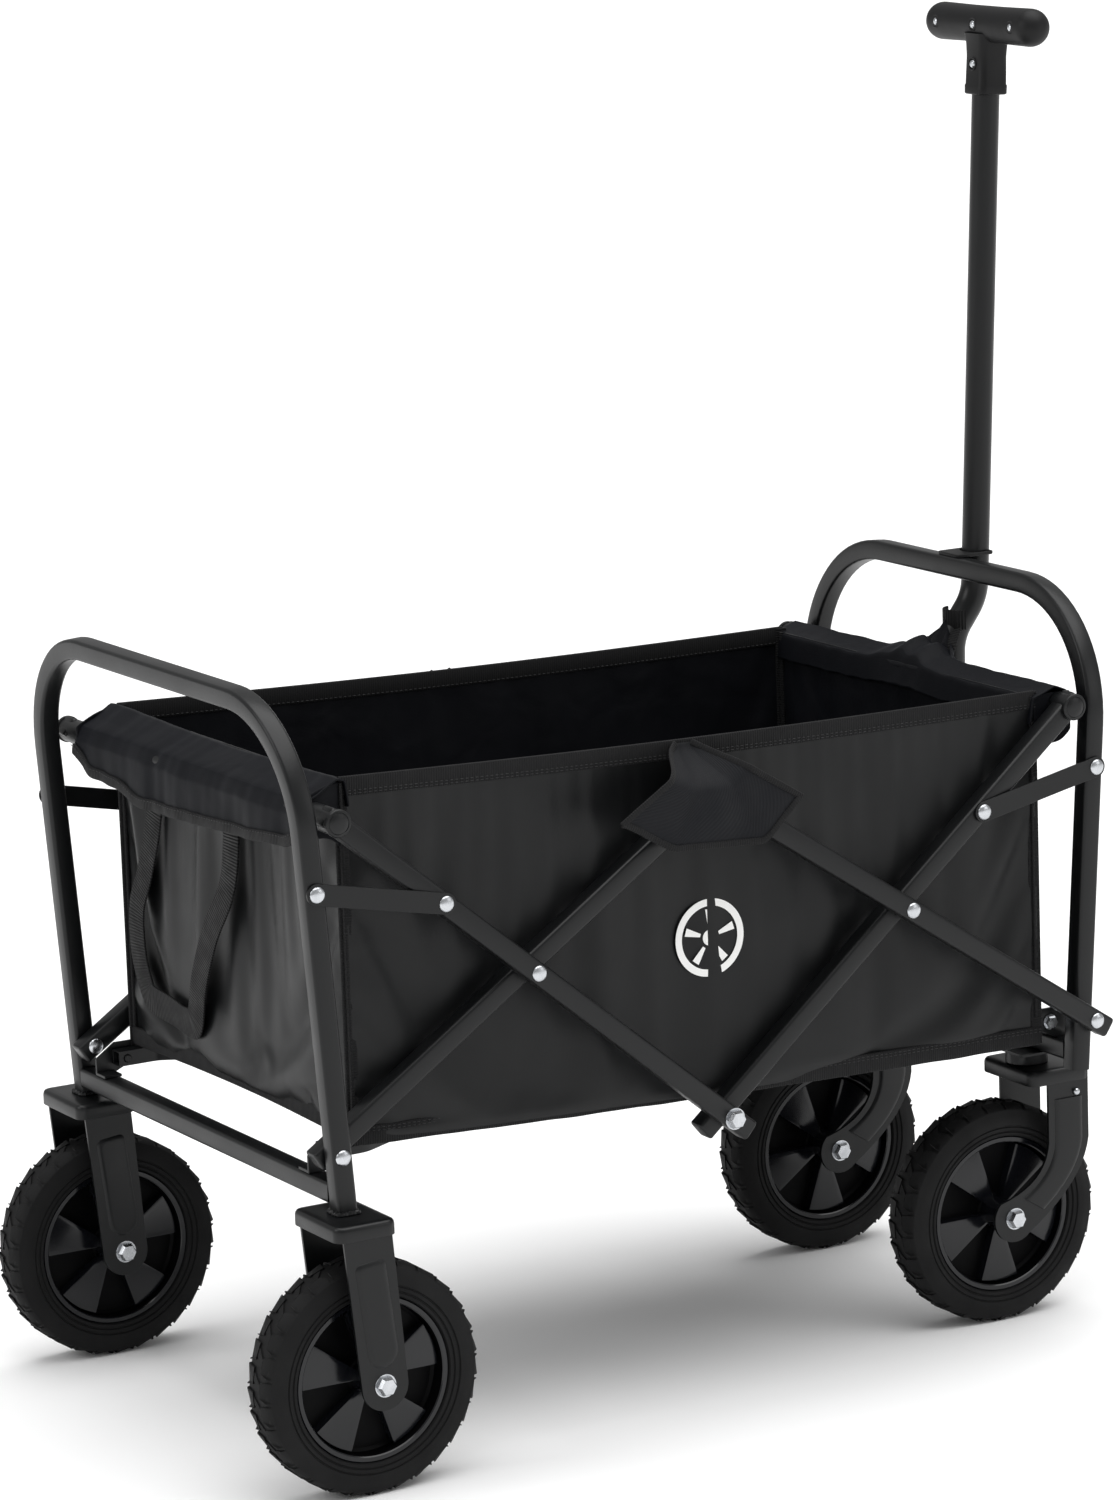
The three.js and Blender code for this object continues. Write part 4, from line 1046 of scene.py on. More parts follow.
@dataclass
class EndFrames:
    """The two bent square-tube frames, their crossbars and floor brackets."""

    shop: Workshop
    rear_corner: float = 90.0
    front_corner: float = 98.0
    bead: float = 2.2
    bracket_edge: float = 0.6

    def line(self, end: float, layer: float, corner: float) -> Route:
        """Middle line of a frame, up one leg, across the top and down the other."""
        high = PLAN.top - PLAN.tube / 2
        corners = [
            Vector((end * PLAN.leg_x(z), y, z))
            for z, y in ((PLAN.leg_foot, -layer), (high, -layer), (high, layer), (PLAN.leg_foot, layer))
        ]
        return Route.bent(corners, corner, 18)

    def frame(self, name: str, body: str, end: float, layer: float, corner: float) -> None:
        """One bent frame."""
        draft = Draft()
        route = self.line(end, layer, corner)
        out = Vector((1, 0, -end * PLAN.lean)).normalized()
        draft.sweep(route, rounded_square(PLAN.tube, PLAN.tube_corner), out)
        self.shop.coat(draft, name + "_bent", body, name)

    def crossbar(self, name: str, body: str, end: float, layer: float) -> None:
        """The square bar between two feet."""
        reach = layer - PLAN.tube / 2 + 0.5
        x = end * PLAN.leg_x(PLAN.crossbar_z)
        route = Route.bent([Vector((x, -reach, PLAN.crossbar_z)), Vector((x, reach, PLAN.crossbar_z))], 1)
        draft = Draft()
        draft.sweep(route, rounded_square(PLAN.tube, PLAN.tube_corner), Vector((0, 0, 1)))
        self.shop.coat(draft, name + "_welded", body, name)

    def bead_round(self, draft: Draft, at: Vector, size: float) -> None:
        """A weld bead round a square foot, with the ripples of the torch."""
        outline = rounded_square(size, 3.0, 3)
        count = 64
        route = []
        lengths = [(Vector(b) - Vector(a)).length for a, b in zip(outline, outline[1:] + outline[:1])]
        total = sum(lengths)
        for i in range(count):
            walk, k = total * i / count, 0
            while walk > lengths[k]:
                walk -= lengths[k]
                k += 1
            a, b = Vector(outline[k]), Vector(outline[(k + 1) % len(outline)])
            route.append(a + (b - a) * (walk / lengths[k]))
        rings = []
        for i, point in enumerate(route):
            out = Vector((point.x, point.y, 0)).normalized()
            swell = self.bead * (1 + 0.16 * math.sin(i * 2.1) + 0.08 * math.sin(i * 5.3))
            base = at + Vector((point.x, point.y, 0))
            ring = []
            for step in range(8):
                angle = math.tau * step / 8
                ring.append(base + out * swell * math.cos(angle) + Vector((0, 0, swell * math.sin(angle))))
            rings.append(ring)
        rings.append(rings[0])
        draft.rings(rings, caps=False)

    def weld_beads(self) -> None:
        """The beads where the rear legs stand on the fork caps."""
        draft = Draft()
        for _, side in SIDES:
            self.bead_round(
                draft, Vector((-PLAN.leg_x(PLAN.deck), side * PLAN.outer, PLAN.deck + 1)), PLAN.tube + 1
            )
        self.shop.coat(draft, "leg_weld_beads", "rear_frame")

    def rivets(self) -> None:
        """Rivet heads on both frames, outside and inside."""
        face = PLAN.outer + PLAN.tube / 2
        heads = []
        for _, side in SIDES:
            out = Vector((0, side, 0))
            heads.append((PLAN.pivot + out * (face - PLAN.pivot.y * side), out))
            heads.append((PLAN.link_on_leg + out * (face + 2.8), out))
            heads.append((PLAN.pivot + out * (PLAN.inner - PLAN.tube / 2 - 0.3), -out))
        self.shop.rivets("rear_frame_rivets", "rear_frame", heads)
        front = [
            (
                across(PLAN.link_on_leg) + Vector((0, side, 0)) * (PLAN.inner + PLAN.tube / 2 + 2.8),
                Vector((0, side, 0)),
            )
            for _, side in SIDES
        ]
        self.shop.rivets("front_frame_rivets", "front_frame", front)

    def brackets(self) -> None:
        """Floor brackets, their bolts and the floor arms."""
        f = self.shop.finishes
        for name, side in SIDES:
            for end, body in (("rear", "rear_frame"), ("front", "front_frame")):
                refined(f"{end}_floor_bracket_{name}", f.powder, body, "frame", self.bracket_edge)
                refined(
                    f"{end}_floor_arm_{name}", f.powder, f"{end}_floor_arms", "frame", self.bracket_edge
                )
        refined("floor_hub", f.powder, "floor_hub", "frame", 1.0)
        for end, sign in (("rear", -1.0), ("front", 1.0)):
            at = place_of(f"{end}_floor_arm_pivot")
            places = []
            for name, side in SIDES:
                low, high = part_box(f"{end}_floor_bracket_{name}")
                outside = (high.y if side > 0 else low.y) / MM - side * 0.6
                places.append((Vector((at.x, outside, at.z)), Vector((0, side, 0))))
            self.shop.bolts(f"{end}_bracket_bolts", f"{end}_frame", places, 11.0, 4.2)

    def make(self) -> None:
        """Builds everything of the two frames."""
        self.frame("rear_frame_tube", "rear_frame", -1, PLAN.outer, self.rear_corner)
        self.frame("front_frame_tube", "front_frame", 1, PLAN.inner, self.front_corner)
        self.crossbar("rear_crossbar", "rear_frame", -1, PLAN.outer)
        self.crossbar("front_crossbar", "front_frame", 1, PLAN.inner)
        self.weld_beads()
        self.rivets()
        self.brackets()


# ---- Scissor ----


@dataclass
class Scissor:
    """Braces, links and round cross tubes of the two sides."""

    shop: Workshop
    pivot_tail: float = 13.0
    bolt_tail: float = 18.0
    cap_tail: float = 7.0
    round_radius: float = 9.5
    cap_radius: float = 10.4
    link_width: float = 16.0
    link_thick: float = 2.2

    def brace(self, a: Vector, b: Vector, tails: tuple[float, float], y: float) -> Draft:
        """A square tube past two points, closed by moulded end plugs.

        Args:
            a: first point of the side view.
            b: second point.
            tails: length past each point.
            y: middle of the tube's layer.

        Returns:
            The drafted tube.
        """
        run = (b - a).normalized()
        ends = [Vector((a.x, y, a.z)) - run * tails[0], Vector((b.x, y, b.z)) + run * tails[1]]
        plug = ((0.0, 1.0), (0.8, 0.98), (1.5, 0.9), (1.9, 0.72))
        stations = [ends[0] - run * h for h, _ in reversed(plug)] + [ends[1] + run * h for h, _ in plug]
        scales = [s for _, s in reversed(plug)] + [s for _, s in plug]
        side = Vector((0, 1, 0))
        rise = run.cross(side)
        outline = rounded_square(PLAN.tube, PLAN.tube_corner)
        draft = Draft()
        draft.rings(
            [[at + side * u * s + rise * v * s for u, v in outline] for at, s in zip(stations, scales)]
        )
        return draft

    def pair(
        self, name: str, body: str, a: Vector, b: Vector, tails: tuple[float, float], layer: float
    ) -> None:
        """The same brace on both sides."""
        for side_name, side in SIDES:
            node = f"{name}_{side_name}"
            piece = self.brace(a, b, tails, side * layer).build(node + "_tube", self.shop.finishes.powder)
            attach(piece, body, "frame", node)

    def link(self, name: str, body: str, a: Vector, b: Vector, face: float) -> None:
        """Flat links with round ends on both sides."""
        r = self.link_width / 2
        turn = math.atan2(b.z - a.z, b.x - a.x)
        outline = arc(b.x, b.z, r, turn - math.pi / 2, turn + math.pi / 2, 14)
        outline += arc(a.x, a.z, r, turn + math.pi / 2, turn + 3 * math.pi / 2, 14)
        for side_name, side in SIDES:
            draft = Draft()
            draft.plate(outline, side * (face + 0.3), side * (face + 0.3 + self.link_thick))
            node = f"{name}_{side_name}"
            piece = soften(draft.build(node + "_bar", self.shop.finishes.powder), 0.5)
            attach(piece, body, "frame", node)

    def cross_tube(self, node: str, body: str, at: Vector, layer: float) -> None:
        """A round tube right through both upper braces, with a moulded cap on each end."""
        reach = layer + PLAN.tube / 2
        half = [
            (self.round_radius, 0.0), (self.round_radius, reach - 0.5), (self.cap_radius, reach - 0.2),
            (self.cap_radius, reach + 2.6), (self.cap_radius - 0.6, reach + 3.3), (8.3, reach + 3.6),
            (7.9, reach + 3.2), (7.4, reach + 3.6), (4.0, reach + 4.3), (0.01, reach + 4.5),
        ]
        profile = [(r, -y) for r, y in reversed(half)] + half[1:]
        draft = Draft()
        draft.lathe(profile, Vector((at.x, 0, at.z)), 40)
        self.shop.coat(draft, node + "_capped", body, node)

    def heads(self) -> None:
        """Rivets and the centre bolts, outside and inside."""
        face = PLAN.outer + PLAN.tube / 2
        inside = PLAN.inner - PLAN.tube / 2 - 0.3
        lower, upper, rear_far, front_far, bolts, nuts = [], [], [], [], [], []
        for _, side in SIDES:
            out = Vector((0, side, 0))
            flat = Vector((1, 0, 1))
            for at in (PLAN.centre_top, across(PLAN.crossing), across(PLAN.pivot)):
                point = Vector((at.x, 0, at.z))
                lower += [(point + out * face, out), (point + out * inside, -out)]
            point = PLAN.crossing * flat
            upper += [(point + out * face, out), (point + out * inside, -out)]
            link = PLAN.link_on_brace * flat
            rear_far.append((link + out * (face + 2.5), out))
            front_far.append((across(link) + out * (PLAN.inner + PLAN.tube / 2 + 2.5), out))
            bolts.append((PLAN.centre_bottom + out * face, out))
            nuts.append((PLAN.centre_bottom + out * (inside + 0.3), -out))
        self.shop.rivets("lower_brace_rivets", "front_lower_braces", lower)
        self.shop.rivets("upper_brace_rivets", "rear_upper_braces", upper)
        self.shop.rivets("rear_link_rivets", "rear_links", rear_far)
        self.shop.rivets("front_link_rivets", "front_links", front_far)
        self.shop.bolts("centre_bolts", "rear_upper_braces", bolts, 15.0, 6.0)
        self.shop.bolts("centre_nuts", "front_upper_braces", nuts, 13.0, 5.0)

    def make(self) -> None:
        """Builds the scissor."""
        p = PLAN
        tail, bolt, cap = self.pivot_tail, self.bolt_tail, self.cap_tail
        for name, a, b, tails, layer in (
            ("rear_lower_brace", p.pivot, p.centre_top, (tail - 3, tail), p.inner),
            ("front_lower_brace", p.centre_top, across(p.pivot), (tail, tail), p.outer),
            ("rear_upper_brace", p.cross_tube, p.centre_bottom, (cap, bolt), p.outer),
            ("front_upper_brace", p.centre_bottom, across(p.cross_tube), (bolt, cap), p.inner),
        ):
            self.pair(name, name + "s", a, b, tails, layer)
        self.link("rear_link", "rear_links", p.link_on_leg, p.link_on_brace, p.outer + p.tube / 2)
        self.link(
            "front_link", "front_links", across(p.link_on_leg), across(p.link_on_brace),
            p.inner + p.tube / 2,
        )
        self.cross_tube("rear_cross_tube", "rear_upper_braces", p.cross_tube, p.outer)
        self.cross_tube("front_cross_tube", "front_upper_braces", across(p.cross_tube), p.inner)
        self.heads()


# ---- Wheels and forks ----


@dataclass
class Wheel:
    """One wheel: foam tyre with a lugged tread, and a gloss hub with five blades."""

    shop: Workshop
    name: str
    body: str
    frame_body: str
    centre: Vector
    radius: float = 88.0
    tread: float = 38.0
    rim: float = 62.5
    lugs: int = 30
    blades: int = 5
    phase: float = 0.0  # of the first blade, from the top
    steps: int = 120

    def tyre(self) -> Object:
        """The carcass with its sidewall rings, and the lugs round it."""
        half = self.tread / 2
        side = [
            (self.rim + 0.2, half - 4.5), (self.rim + 0.4, half - 2.6), (self.rim + 1.2, half - 1.5),
            (self.rim + 3.2, half - 1.2), (self.rim + 3.8, half - 2.1), (self.rim + 4.5, half - 2.1),
            (self.rim + 5.1, half - 1.0), (self.rim + 7.4, half - 0.5), (self.rim + 8.0, half - 1.3),
            (self.rim + 8.6, half - 1.3), (self.rim + 9.2, half - 0.2), (self.rim + 13.5, half),
            (self.rim + 17.5, half - 1.0), (self.radius - 3.7, half - 2.2), (self.radius - 1.8, half - 5.6),
            (self.radius - 1.5, half - 11.0),
        ]
        profile = [(r, y) for r, y in side] + [(r, -y) for r, y in reversed(side)]
        draft = Draft()
        draft.lathe([*profile, profile[0]], self.centre, self.steps)
        carcass = draft.build(self.name + "_carcass", self.shop.finishes.rubber, crease=50)
        return self.ring_of(self.lug(), self.lugs, carcass, self.shop.finishes.rubber, 40)

    def ring_of(
        self, copy: Object, copies: int, onto: Object, finish: Material, crease: float
    ) -> Object:
        """Sets copies of a piece round the axle and joins them to another piece.

        Args:
            copy: the piece that is repeated, about the wheel's own middle; it is removed.
            copies: how many there are.
            onto: the piece that they join.
            finish: their material.
            crease: edges sharper than this many degrees stay sharp.

        Returns:
            The piece that they joined.
        """
        axle = self.centre * MM + Vector((MIDDLE, 0, 0))
        ring = self.shop.points(copy.name + "s", [(self.centre, Vector((0, 1, 0)))])
        ring = self.shop.round_wheel.cook(ring, Copies=copies, Piece=copy, Axle=axle, Finish=finish)
        merged = bmesh.new()
        merged.from_mesh(onto.data)
        merged.from_mesh(ring.data)
        merged.to_mesh(onto.data)
        merged.free()
        for spent in (copy, ring):
            bpy.data.objects.remove(spent)
        onto.data.shade_smooth()
        onto.data.set_sharp_from_angle(angle=math.radians(crease))
        return onto

    def lug(self) -> Object:
        """One pitch of tread: a shoulder block on each side, half a step apart, and a slanted middle bar."""
        draft = Draft()
        pitch = math.tau / self.lugs
        half = self.tread / 2
        low, high = self.radius - 5.4, self.radius
        for side in (-1, 1):
            lean = side * 0.25 * pitch
            outline = ((half - 13.5, 0.34), (half - 5.0, 0.43), (half - 1.9, 0.41))
            self.block(draft, side, outline, lean, pitch, (low, high, 3.4))
        self.bar(draft, pitch, low, high - 0.4)
        piece = draft.build(self.name + "_lug", self.shop.finishes.rubber)
        return self.at_origin(piece)

    def block(
        self, draft: Draft, side: int, outline: Outline, lean: float, pitch: float,
        heights: tuple[float, float, float],
    ) -> None:
        """A shoulder block whose outer end slopes down the sidewall."""
        low, high, slope = heights
        rings = []
        for inset, r in ((0.0, low), (0.0, high - 0.5), (0.035, high)):
            ring = []
            for way, edge in ((1, outline), (-1, outline[::-1])):
                for y, share in edge:
                    drop = slope if y > self.tread / 2 - 2 else 0.0
                    angle = lean + way * (share - inset) * pitch
                    ring.append(self.polar(r - drop, angle, side * (y - inset * 8)))
            rings.append(ring)
        draft.rings(rings)

    def bar(self, draft: Draft, pitch: float, low: float, high: float) -> None:
        """The slanted bar in the tread's middle."""
        rings = []
        for inset, r in ((0.0, low), (0.0, high - 0.6), (0.05, high)):
            corners = ((-4.6, -0.36), (4.6, 0.06), (4.6, 0.4), (-4.6, -0.02))
            rings.append([self.polar(r, (a * (1 - inset)) * pitch, y * (1 - inset)) for y, a in corners])
        draft.rings(rings)

    def at_origin(self, piece: Object) -> Object:
        """Moves a piece drafted at the scissor's middle to the origin."""
        for vertex in piece.data.vertices:
            vertex.co.x -= MIDDLE
        return piece

    def polar(self, r: float, angle: float, y: float) -> Vector:
        """A point at a radius and an angle from the top, about the wheel's own middle."""
        return Vector((r * math.sin(angle), y, r * math.cos(angle)))

    def hub(self) -> Object:
        """Rim ring, closed web, boss and blades."""
        half, web, lip = 16.0, 2.0, 4.6
        inner = self.rim - lip
        side = [
            (4.6, 29.5), (10.4, 29.5), (11.6, 28.6), (12.6, web + 1.5), (14.0, web), (inner - 3, web),
            (inner - 0.6, web + 1.6), (inner, web + 4), (inner, half - 0.8), (inner + 0.8, half),
            (self.rim - 0.8, half), (self.rim, half - 0.8),
        ]
        profile = side + [(r, -y) for r, y in reversed(side)]
        draft = Draft()
        draft.lathe([*profile, profile[0]], self.centre, self.steps)
        hub = draft.build(self.name + "_moulding", self.shop.finishes.gloss, crease=42)
        hub.data.materials.append(self.shop.finishes.recess_painted_shade)
        # The sunk web inside the rim gets the darker finish: painted shade between the blades.
        for face in hub.data.polygons:
            away = math.hypot(
                face.center.x / MM - MIDDLE / MM - self.centre.x, face.center.z / MM - self.centre.z
            )
            if away < inner + 0.5 and abs(face.center.y / MM - self.centre.y) < half - 3:
                face.material_index = 1
        return self.ring_of(self.fan(inner), self.blades, hub, self.shop.finishes.gloss, 32)

    def fan(self, inner: float) -> Object:
        """One blade: a raised sector on both faces of the web, tapering towards the boss."""
        draft = Draft()
        spread = math.pi / self.blades / 2
        outer, root = inner - 1.6, 12.0
        for face in (-1, 1):
            rings = []
            for inset, height in ((0.0, 1.0), (0.0, 10.2), (0.35, 10.8), (1.0, 11.0)):
                ring = []
                for step in range(11):
                    angle = (spread - inset / outer) * (2 * step / 10 - 1)
                    ring.append(self.polar(outer - inset, angle + self.phase, face * height))
                for step in range(4):
                    angle = (spread - inset / root * 0.8) * (1 - 2 * step / 3)
                    ring.append(self.polar(root, angle + self.phase, face * height))
                rings.append(ring)
            draft.rings(rings)
        piece = draft.build(self.name + "_blade", self.shop.finishes.gloss)
        return self.at_origin(piece)

    def make(self) -> None:
        """Builds the wheel and its axle bolt."""
        attach(self.tyre(), self.body, "tyre", self.name + "_tyre")
        attach(self.hub(), self.body, "hub", self.name + "_hub")
        low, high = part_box(self.name + "_axle_bolt")
        outside = ((high.y - low.y) / 2 / MM) - 6.0
        heads = [(self.centre + Vector((0, way * outside, 0)), Vector((0, way, 0))) for way in (-1, 1)]
        bolt = self.shop.bolts(self.name + "_bolt_heads", self.frame_body, heads, 15.5, 6.0)
        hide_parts(self.name + "_axle_bolt")
        draft = Draft()
        draft.lathe([(0.01, -outside), (4.0, -outside), (4.0, outside), (0.01, outside)], self.centre, 20)
        attach(draft.build(self.name + "_axle_shank", self.shop.finishes.zinc), self.frame_body, "zinc")


@dataclass
class Forks:
    """Pressed forks: fixed ones under the rear legs, swivelling ones at the front."""

    shop: Workshop
    plate: float = 2.6
    half: float = 34.6
    wheel: float = 88.0
    end_radius: float = 19.0
    top_width: float = 40.0
    cap_length: float = 50.0

    def cap(self, draft: Draft, x0: float, x1: float, y: float, top: float, depth: float = 12.0) -> None:
        """The stamped cap: a tray upside down with rounded, turned-down edges."""
        centre = Vector(((x0 + x1) / 2, y, top))
        width = 2 * (self.half + 1.4)
        inner = 2.4
        steps = (
            (7.0, 0.0), (3.2, -0.1), (1.5, -0.7), (0.5, -2.0), (0.0, -3.8), (0.0, -depth + 0.6),
            (0.4, -depth),
            (inner - 0.4, -depth), (inner, -depth + 0.6), (inner, -5.0), (inner + 1.5, -3.0), (7.2, -2.8),
        )
        draft.tray(centre, x1 - x0, width, 8.0, steps)

    def legs(self, draft: Draft, outline: Outline, y: float) -> None:
        """Both side plates of a fork."""
        for face in (-1, 1):
            inside, outside = y + face * (self.half - self.plate), y + face * self.half
            draft.plate(outline, inside, outside)

    def rib(self, draft: Draft, a: Vector, b: Vector, width: float, y: float) -> None:
        """A long pressed rib with soft shoulders on each plate's outside."""
        along = (b - a).normalized()
        beside = Vector((-along.z, 0, along.x))
        for face in (-1, 1):
            rings = []
            for inset, height in ((0.0, -0.6), (0.0, 0.1), (1.0, 0.8), (2.6, 1.35), (4.4, 1.5)):
                r = width / 2 - inset
                square = min(5.0, r)
                ring = []
                for step in range(13):
                    angle = math.pi * step / 12
                    ring.append(b + beside * r * math.cos(angle) + along * r * math.sin(angle))
                for way in (-1, 1):
                    corner = a + along * (inset + square) + beside * way * (r - square)
                    for step in range(5):
                        angle = math.pi / 2 * step / 4
                        turn = (
                            math.cos(angle), math.sin(angle)
                        ) if way < 0 else (math.sin(angle), math.cos(angle))
                        ring.append(corner + beside * way * square * turn[0] - along * square * turn[1])
                rings.append([Vector((at.x, y + face * (self.half + height), at.z)) for at in ring])
            draft.rings(rings)

    def curved_rib(
        self, draft: Draft, rear: Outline, fore: Outline, y: float
    ) -> None:
        """A pressed rib that follows a curved leg between its two edges."""
        for face in (-1, 1):
            rings = []
            for inset, height in ((6.0, -0.6), (6.0, 0.1), (7.0, 0.8), (8.6, 1.35), (10.4, 1.5)):
                ends: tuple[list[Vector], list[Vector]] = ([], [])
                for a, b in zip(rear, fore):
                    left, right = Vector((a[0], 0, a[1])), Vector((b[0], 0, b[1]))
                    share = min(0.45, inset / (right - left).length)
                    ends[0].append(left.lerp(right, share))
                    ends[1].append(right.lerp(left, share))
                ring = ends[0] + ends[1][::-1]
                rings.append([Vector((at.x, y + face * (self.half + height), at.z)) for at in ring])
            draft.rings(rings)

    def rear(self, name: str, y: float, axle: Vector) -> None:
        """A fixed rear fork."""
        draft = Draft()
        middle = -PLAN.leg_x(PLAN.deck)
        top = PLAN.deck - 3.0
        half = self.top_width / 2
        foot = arc(axle.x, axle.z, self.end_radius, math.pi, 2 * math.pi, 18)
        outline = [(middle - half, top), *foot, (middle + half, top)]
        self.legs(draft, outline, y)
        self.cap(draft, middle - self.cap_length / 2, middle + self.cap_length / 2, y, PLAN.deck)
        self.rib(draft, Vector((middle + 1, 0, top - 26)), Vector((axle.x - 1, 0, axle.z + 26)), 25, y)
        piece = soften(draft.build("rear_fork_pressing_" + name, self.shop.finishes.powder), 0.6)
        attach(piece, "rear_frame", "frame", "rear_fork_" + name)

    def front(self, name: str, y: float, axle: Vector, swivel: Vector) -> None:
        """A trailing front fork with its curved legs and kingpin."""
        low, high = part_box("caster_fork_" + name)
        front = high.x / MM - MIDDLE / MM - 2.4
        back = front - self.top_width + 2
        cap_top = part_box("swivel_plate_" + name)[0].z / MM - 0.3
        top = cap_top - 3.0
        knee = self.wheel + 56
        outline = [(back, top), (back, knee)]
        outline += self.curve((back, knee), (back - 3, knee - 32), (axle.x - 13, self.wheel + 13.5))
        heel_turn = math.pi * 1.745
        outline += arc(axle.x, axle.z, self.end_radius, heel_turn - math.pi, heel_turn, 16)
        outline += self.curve(outline[-1], (front - 5, self.wheel + 20), (front, knee))[:-1]
        outline += [(front, knee), (front, top)]
        draft = Draft()
        self.legs(draft, outline, y)
        self.cap(draft, swivel.x - 20, front + 2.6, y, cap_top)
        heel = arc(axle.x, axle.z, self.end_radius, heel_turn, heel_turn, 1)[0]
        rear_edge = [(back, top - 22), (back, knee)]
        rear_edge += self.curve((back, knee), (back - 3, knee - 32), (axle.x - 13, self.wheel + 13.5))[:8]
        fore_edge = [(front, top - 22), (front, knee)]
        fore_edge += self.curve((front, knee), (front - 5, self.wheel + 20), heel)[:8]
        self.curved_rib(draft, rear_edge, fore_edge, y)
        draft.lathe([(0.01, -2), (6, -2), (6, 8), (0.01, 8)], Vector((swivel.x, y, cap_top)), 20, "Z")
        piece = soften(draft.build("caster_fork_pressing_" + name, self.shop.finishes.powder), 0.6)
        attach(piece, "caster_" + name, "frame", "caster_fork_" + name)
        refined("swivel_plate_" + name, self.shop.finishes.powder, "front_frame", "frame", 0.6)
        face = [
            (Vector((front - 12, y + way * (self.half + 1.2), top - 18)), Vector((0, way, 0)))
            for way in (-1, 1)
        ]
        self.shop.rivets("caster_rivets_" + name, "caster_" + name, face, 3.0)

    def curve(
        self, a: tuple[float, float], b: tuple[float, float], c: tuple[float, float]
    ) -> Outline:
        """The later points of a quadratic curve."""
        points = []
        for step in range(1, 11):
            t = step / 10
            points.append(
                tuple((1 - t) ** 2 * p + 2 * t * (1 - t) * q + t**2 * r for p, q, r in zip(a, b, c))
            )
        return points


@dataclass
class RollingGear:
    """All four wheels with their forks."""

    shop: Workshop

    def make(self) -> None:
        """Builds forks and wheels in place."""
        forks = Forks(self.shop)
        for name, _ in SIDES:
            rear = place_of("rear_wheel_spin_" + name)
            front = place_of("front_wheel_spin_" + name)
            swivel = place_of("caster_swivel_" + name)
            forks.rear(name, rear.y, rear)
            forks.front(name, front.y, front, swivel)
            Wheel(self.shop, "rear_" + name, "rear_wheel_" + name, "rear_frame", rear).make()
            Wheel(
                self.shop, "front_" + name, "front_wheel_" + name, "caster_" + name, front, phase=math.pi
            ).make()


# ---- Pull handle ----


@dataclass
class PullHandle:
    """Bent round tube with a T grip, its bracket and its clip."""

    shop: Workshop
    radius: float = 11.0
    neck_drop: float = 64.0
    neck_back: float = 23.0
    reach: float = 366.0
    lean: float = 0.05
    bend: float = 40.0
    pass_drop: float = 34.0
    grip_radius: float = 15.0
    grip_length: float = 150.0
    socket: float = 27.0
    socket_length: float = 46.0
    screw_spacing: float = 52.0

    def corners(self, end: float) -> list[Vector]:
        """Corner points of the tube's middle line, up to a height."""
        pivot = PLAN.handle_pivot
        bar_front = PLAN.leg_x(PLAN.top - PLAN.tube / 2) + PLAN.tube / 2
        pass_x = bar_front + self.radius + 1.2
        pass_z = PLAN.top - self.pass_drop
        return [
            Vector((pivot.x, 0, pivot.z - 10)),
            Vector((pass_x - self.neck_back, 0, PLAN.top - self.neck_drop)),
            Vector((pass_x, 0, pass_z)),
            Vector((pass_x + self.lean * (end - pass_z), 0, end)),
        ]

    def tube(self) -> None:
        """The bent tube."""
        route = Route.bent(self.corners(PLAN.top + self.reach + 20), self.bend, 14)
        draft = Draft()
        draft.sweep(route, circle(self.radius, 32), Vector((0, 1, 0)))
        self.shop.coat(draft, "handle_tube_bent", "pull_handle", "handle_tube")

    def grip(self) -> None:
        """T grip with a flared socket."""
        last = self.corners(PLAN.top + self.reach + 60)
        along = (last[3] - last[2]).normalized()
        start = last[3] - along * 60
        middle = start + along * (self.socket_length + self.grip_radius * 0.6)
        half = self.grip_length / 2
        end = arc(0.0, self.grip_radius - half, self.grip_radius, -math.pi / 2, 0.0, 9)
        profile = [(max(r, 0.01), y) for r, y in end]
        profile += [(self.grip_radius - 0.5, -20.0), (self.grip_radius - 0.5, 20.0)]
        profile += [(r, -y) for r, y in reversed(profile[:10])]
        draft = Draft()
        draft.lathe(profile, middle, 40)
        side = Vector((0, 1, 0))
        face = side.cross(along)
        rings = []
        for h, size in (
            (0.0, 25.6), (0.8, 27.4), (7.0, 27.6), (8.0, 26.6), (30.0, 26.0), (40.0, 27.0), (48.0, 29.5)
        ):
            outline = rounded_square(size, 6.0, 4)
            rings.append([start + along * h + side * u + face * v for u, v in outline])
        draft.rings(rings)
        attach(draft.build("t_grip", self.shop.finishes.plastic), "pull_handle", "grip", "handle_grip")
        back = Vector((-1, 0, 0.05))
        spots = [middle + side * offset * self.screw_spacing + back * 13.2 for offset in (-1, 0, 1)]
        spots.append(start + along * 24 + back * 12.6)
        self.shop.rivets("grip_screws", "pull_handle", [(at, back) for at in spots], 3.4)
        draft = Draft()
        for at in spots:
            route = Route.bent([at - back * 2.0, at + back * 1.3], 1)
            rings = []
            for r, h in ((5.4, -2.0), (5.4, 0.9), (4.9, 1.4), (4.2, 1.2), (4.0, 0.2), (4.0, -2.0)):
                rings.append([at + back * h + side * u + side.cross(back) * v for u, v in circle(r, 24)])
            draft.rings(rings, caps=False)
        attach(draft.build("screw_recesses", self.shop.finishes.plastic), "pull_handle", "grip")

    def make(self) -> None:
        """Builds the handle and what holds it."""
        self.tube()
        self.grip()
        refined("handle_bracket", self.shop.finishes.powder, "front_frame", "frame", 0.6)
        refined("handle_clip", self.shop.finishes.plastic, "front_frame", "frame", 1.0)


# ---- Fabric tub ----


def face_out(piece: Object, outward: Vector) -> None:
    """Turns an open sheet so that its first face looks outward."""
    total = sum((Vector(p.normal) * p.area for p in piece.data.polygons), Vector())
    if total.dot(outward) < 0:
        piece.data.flip_normals()


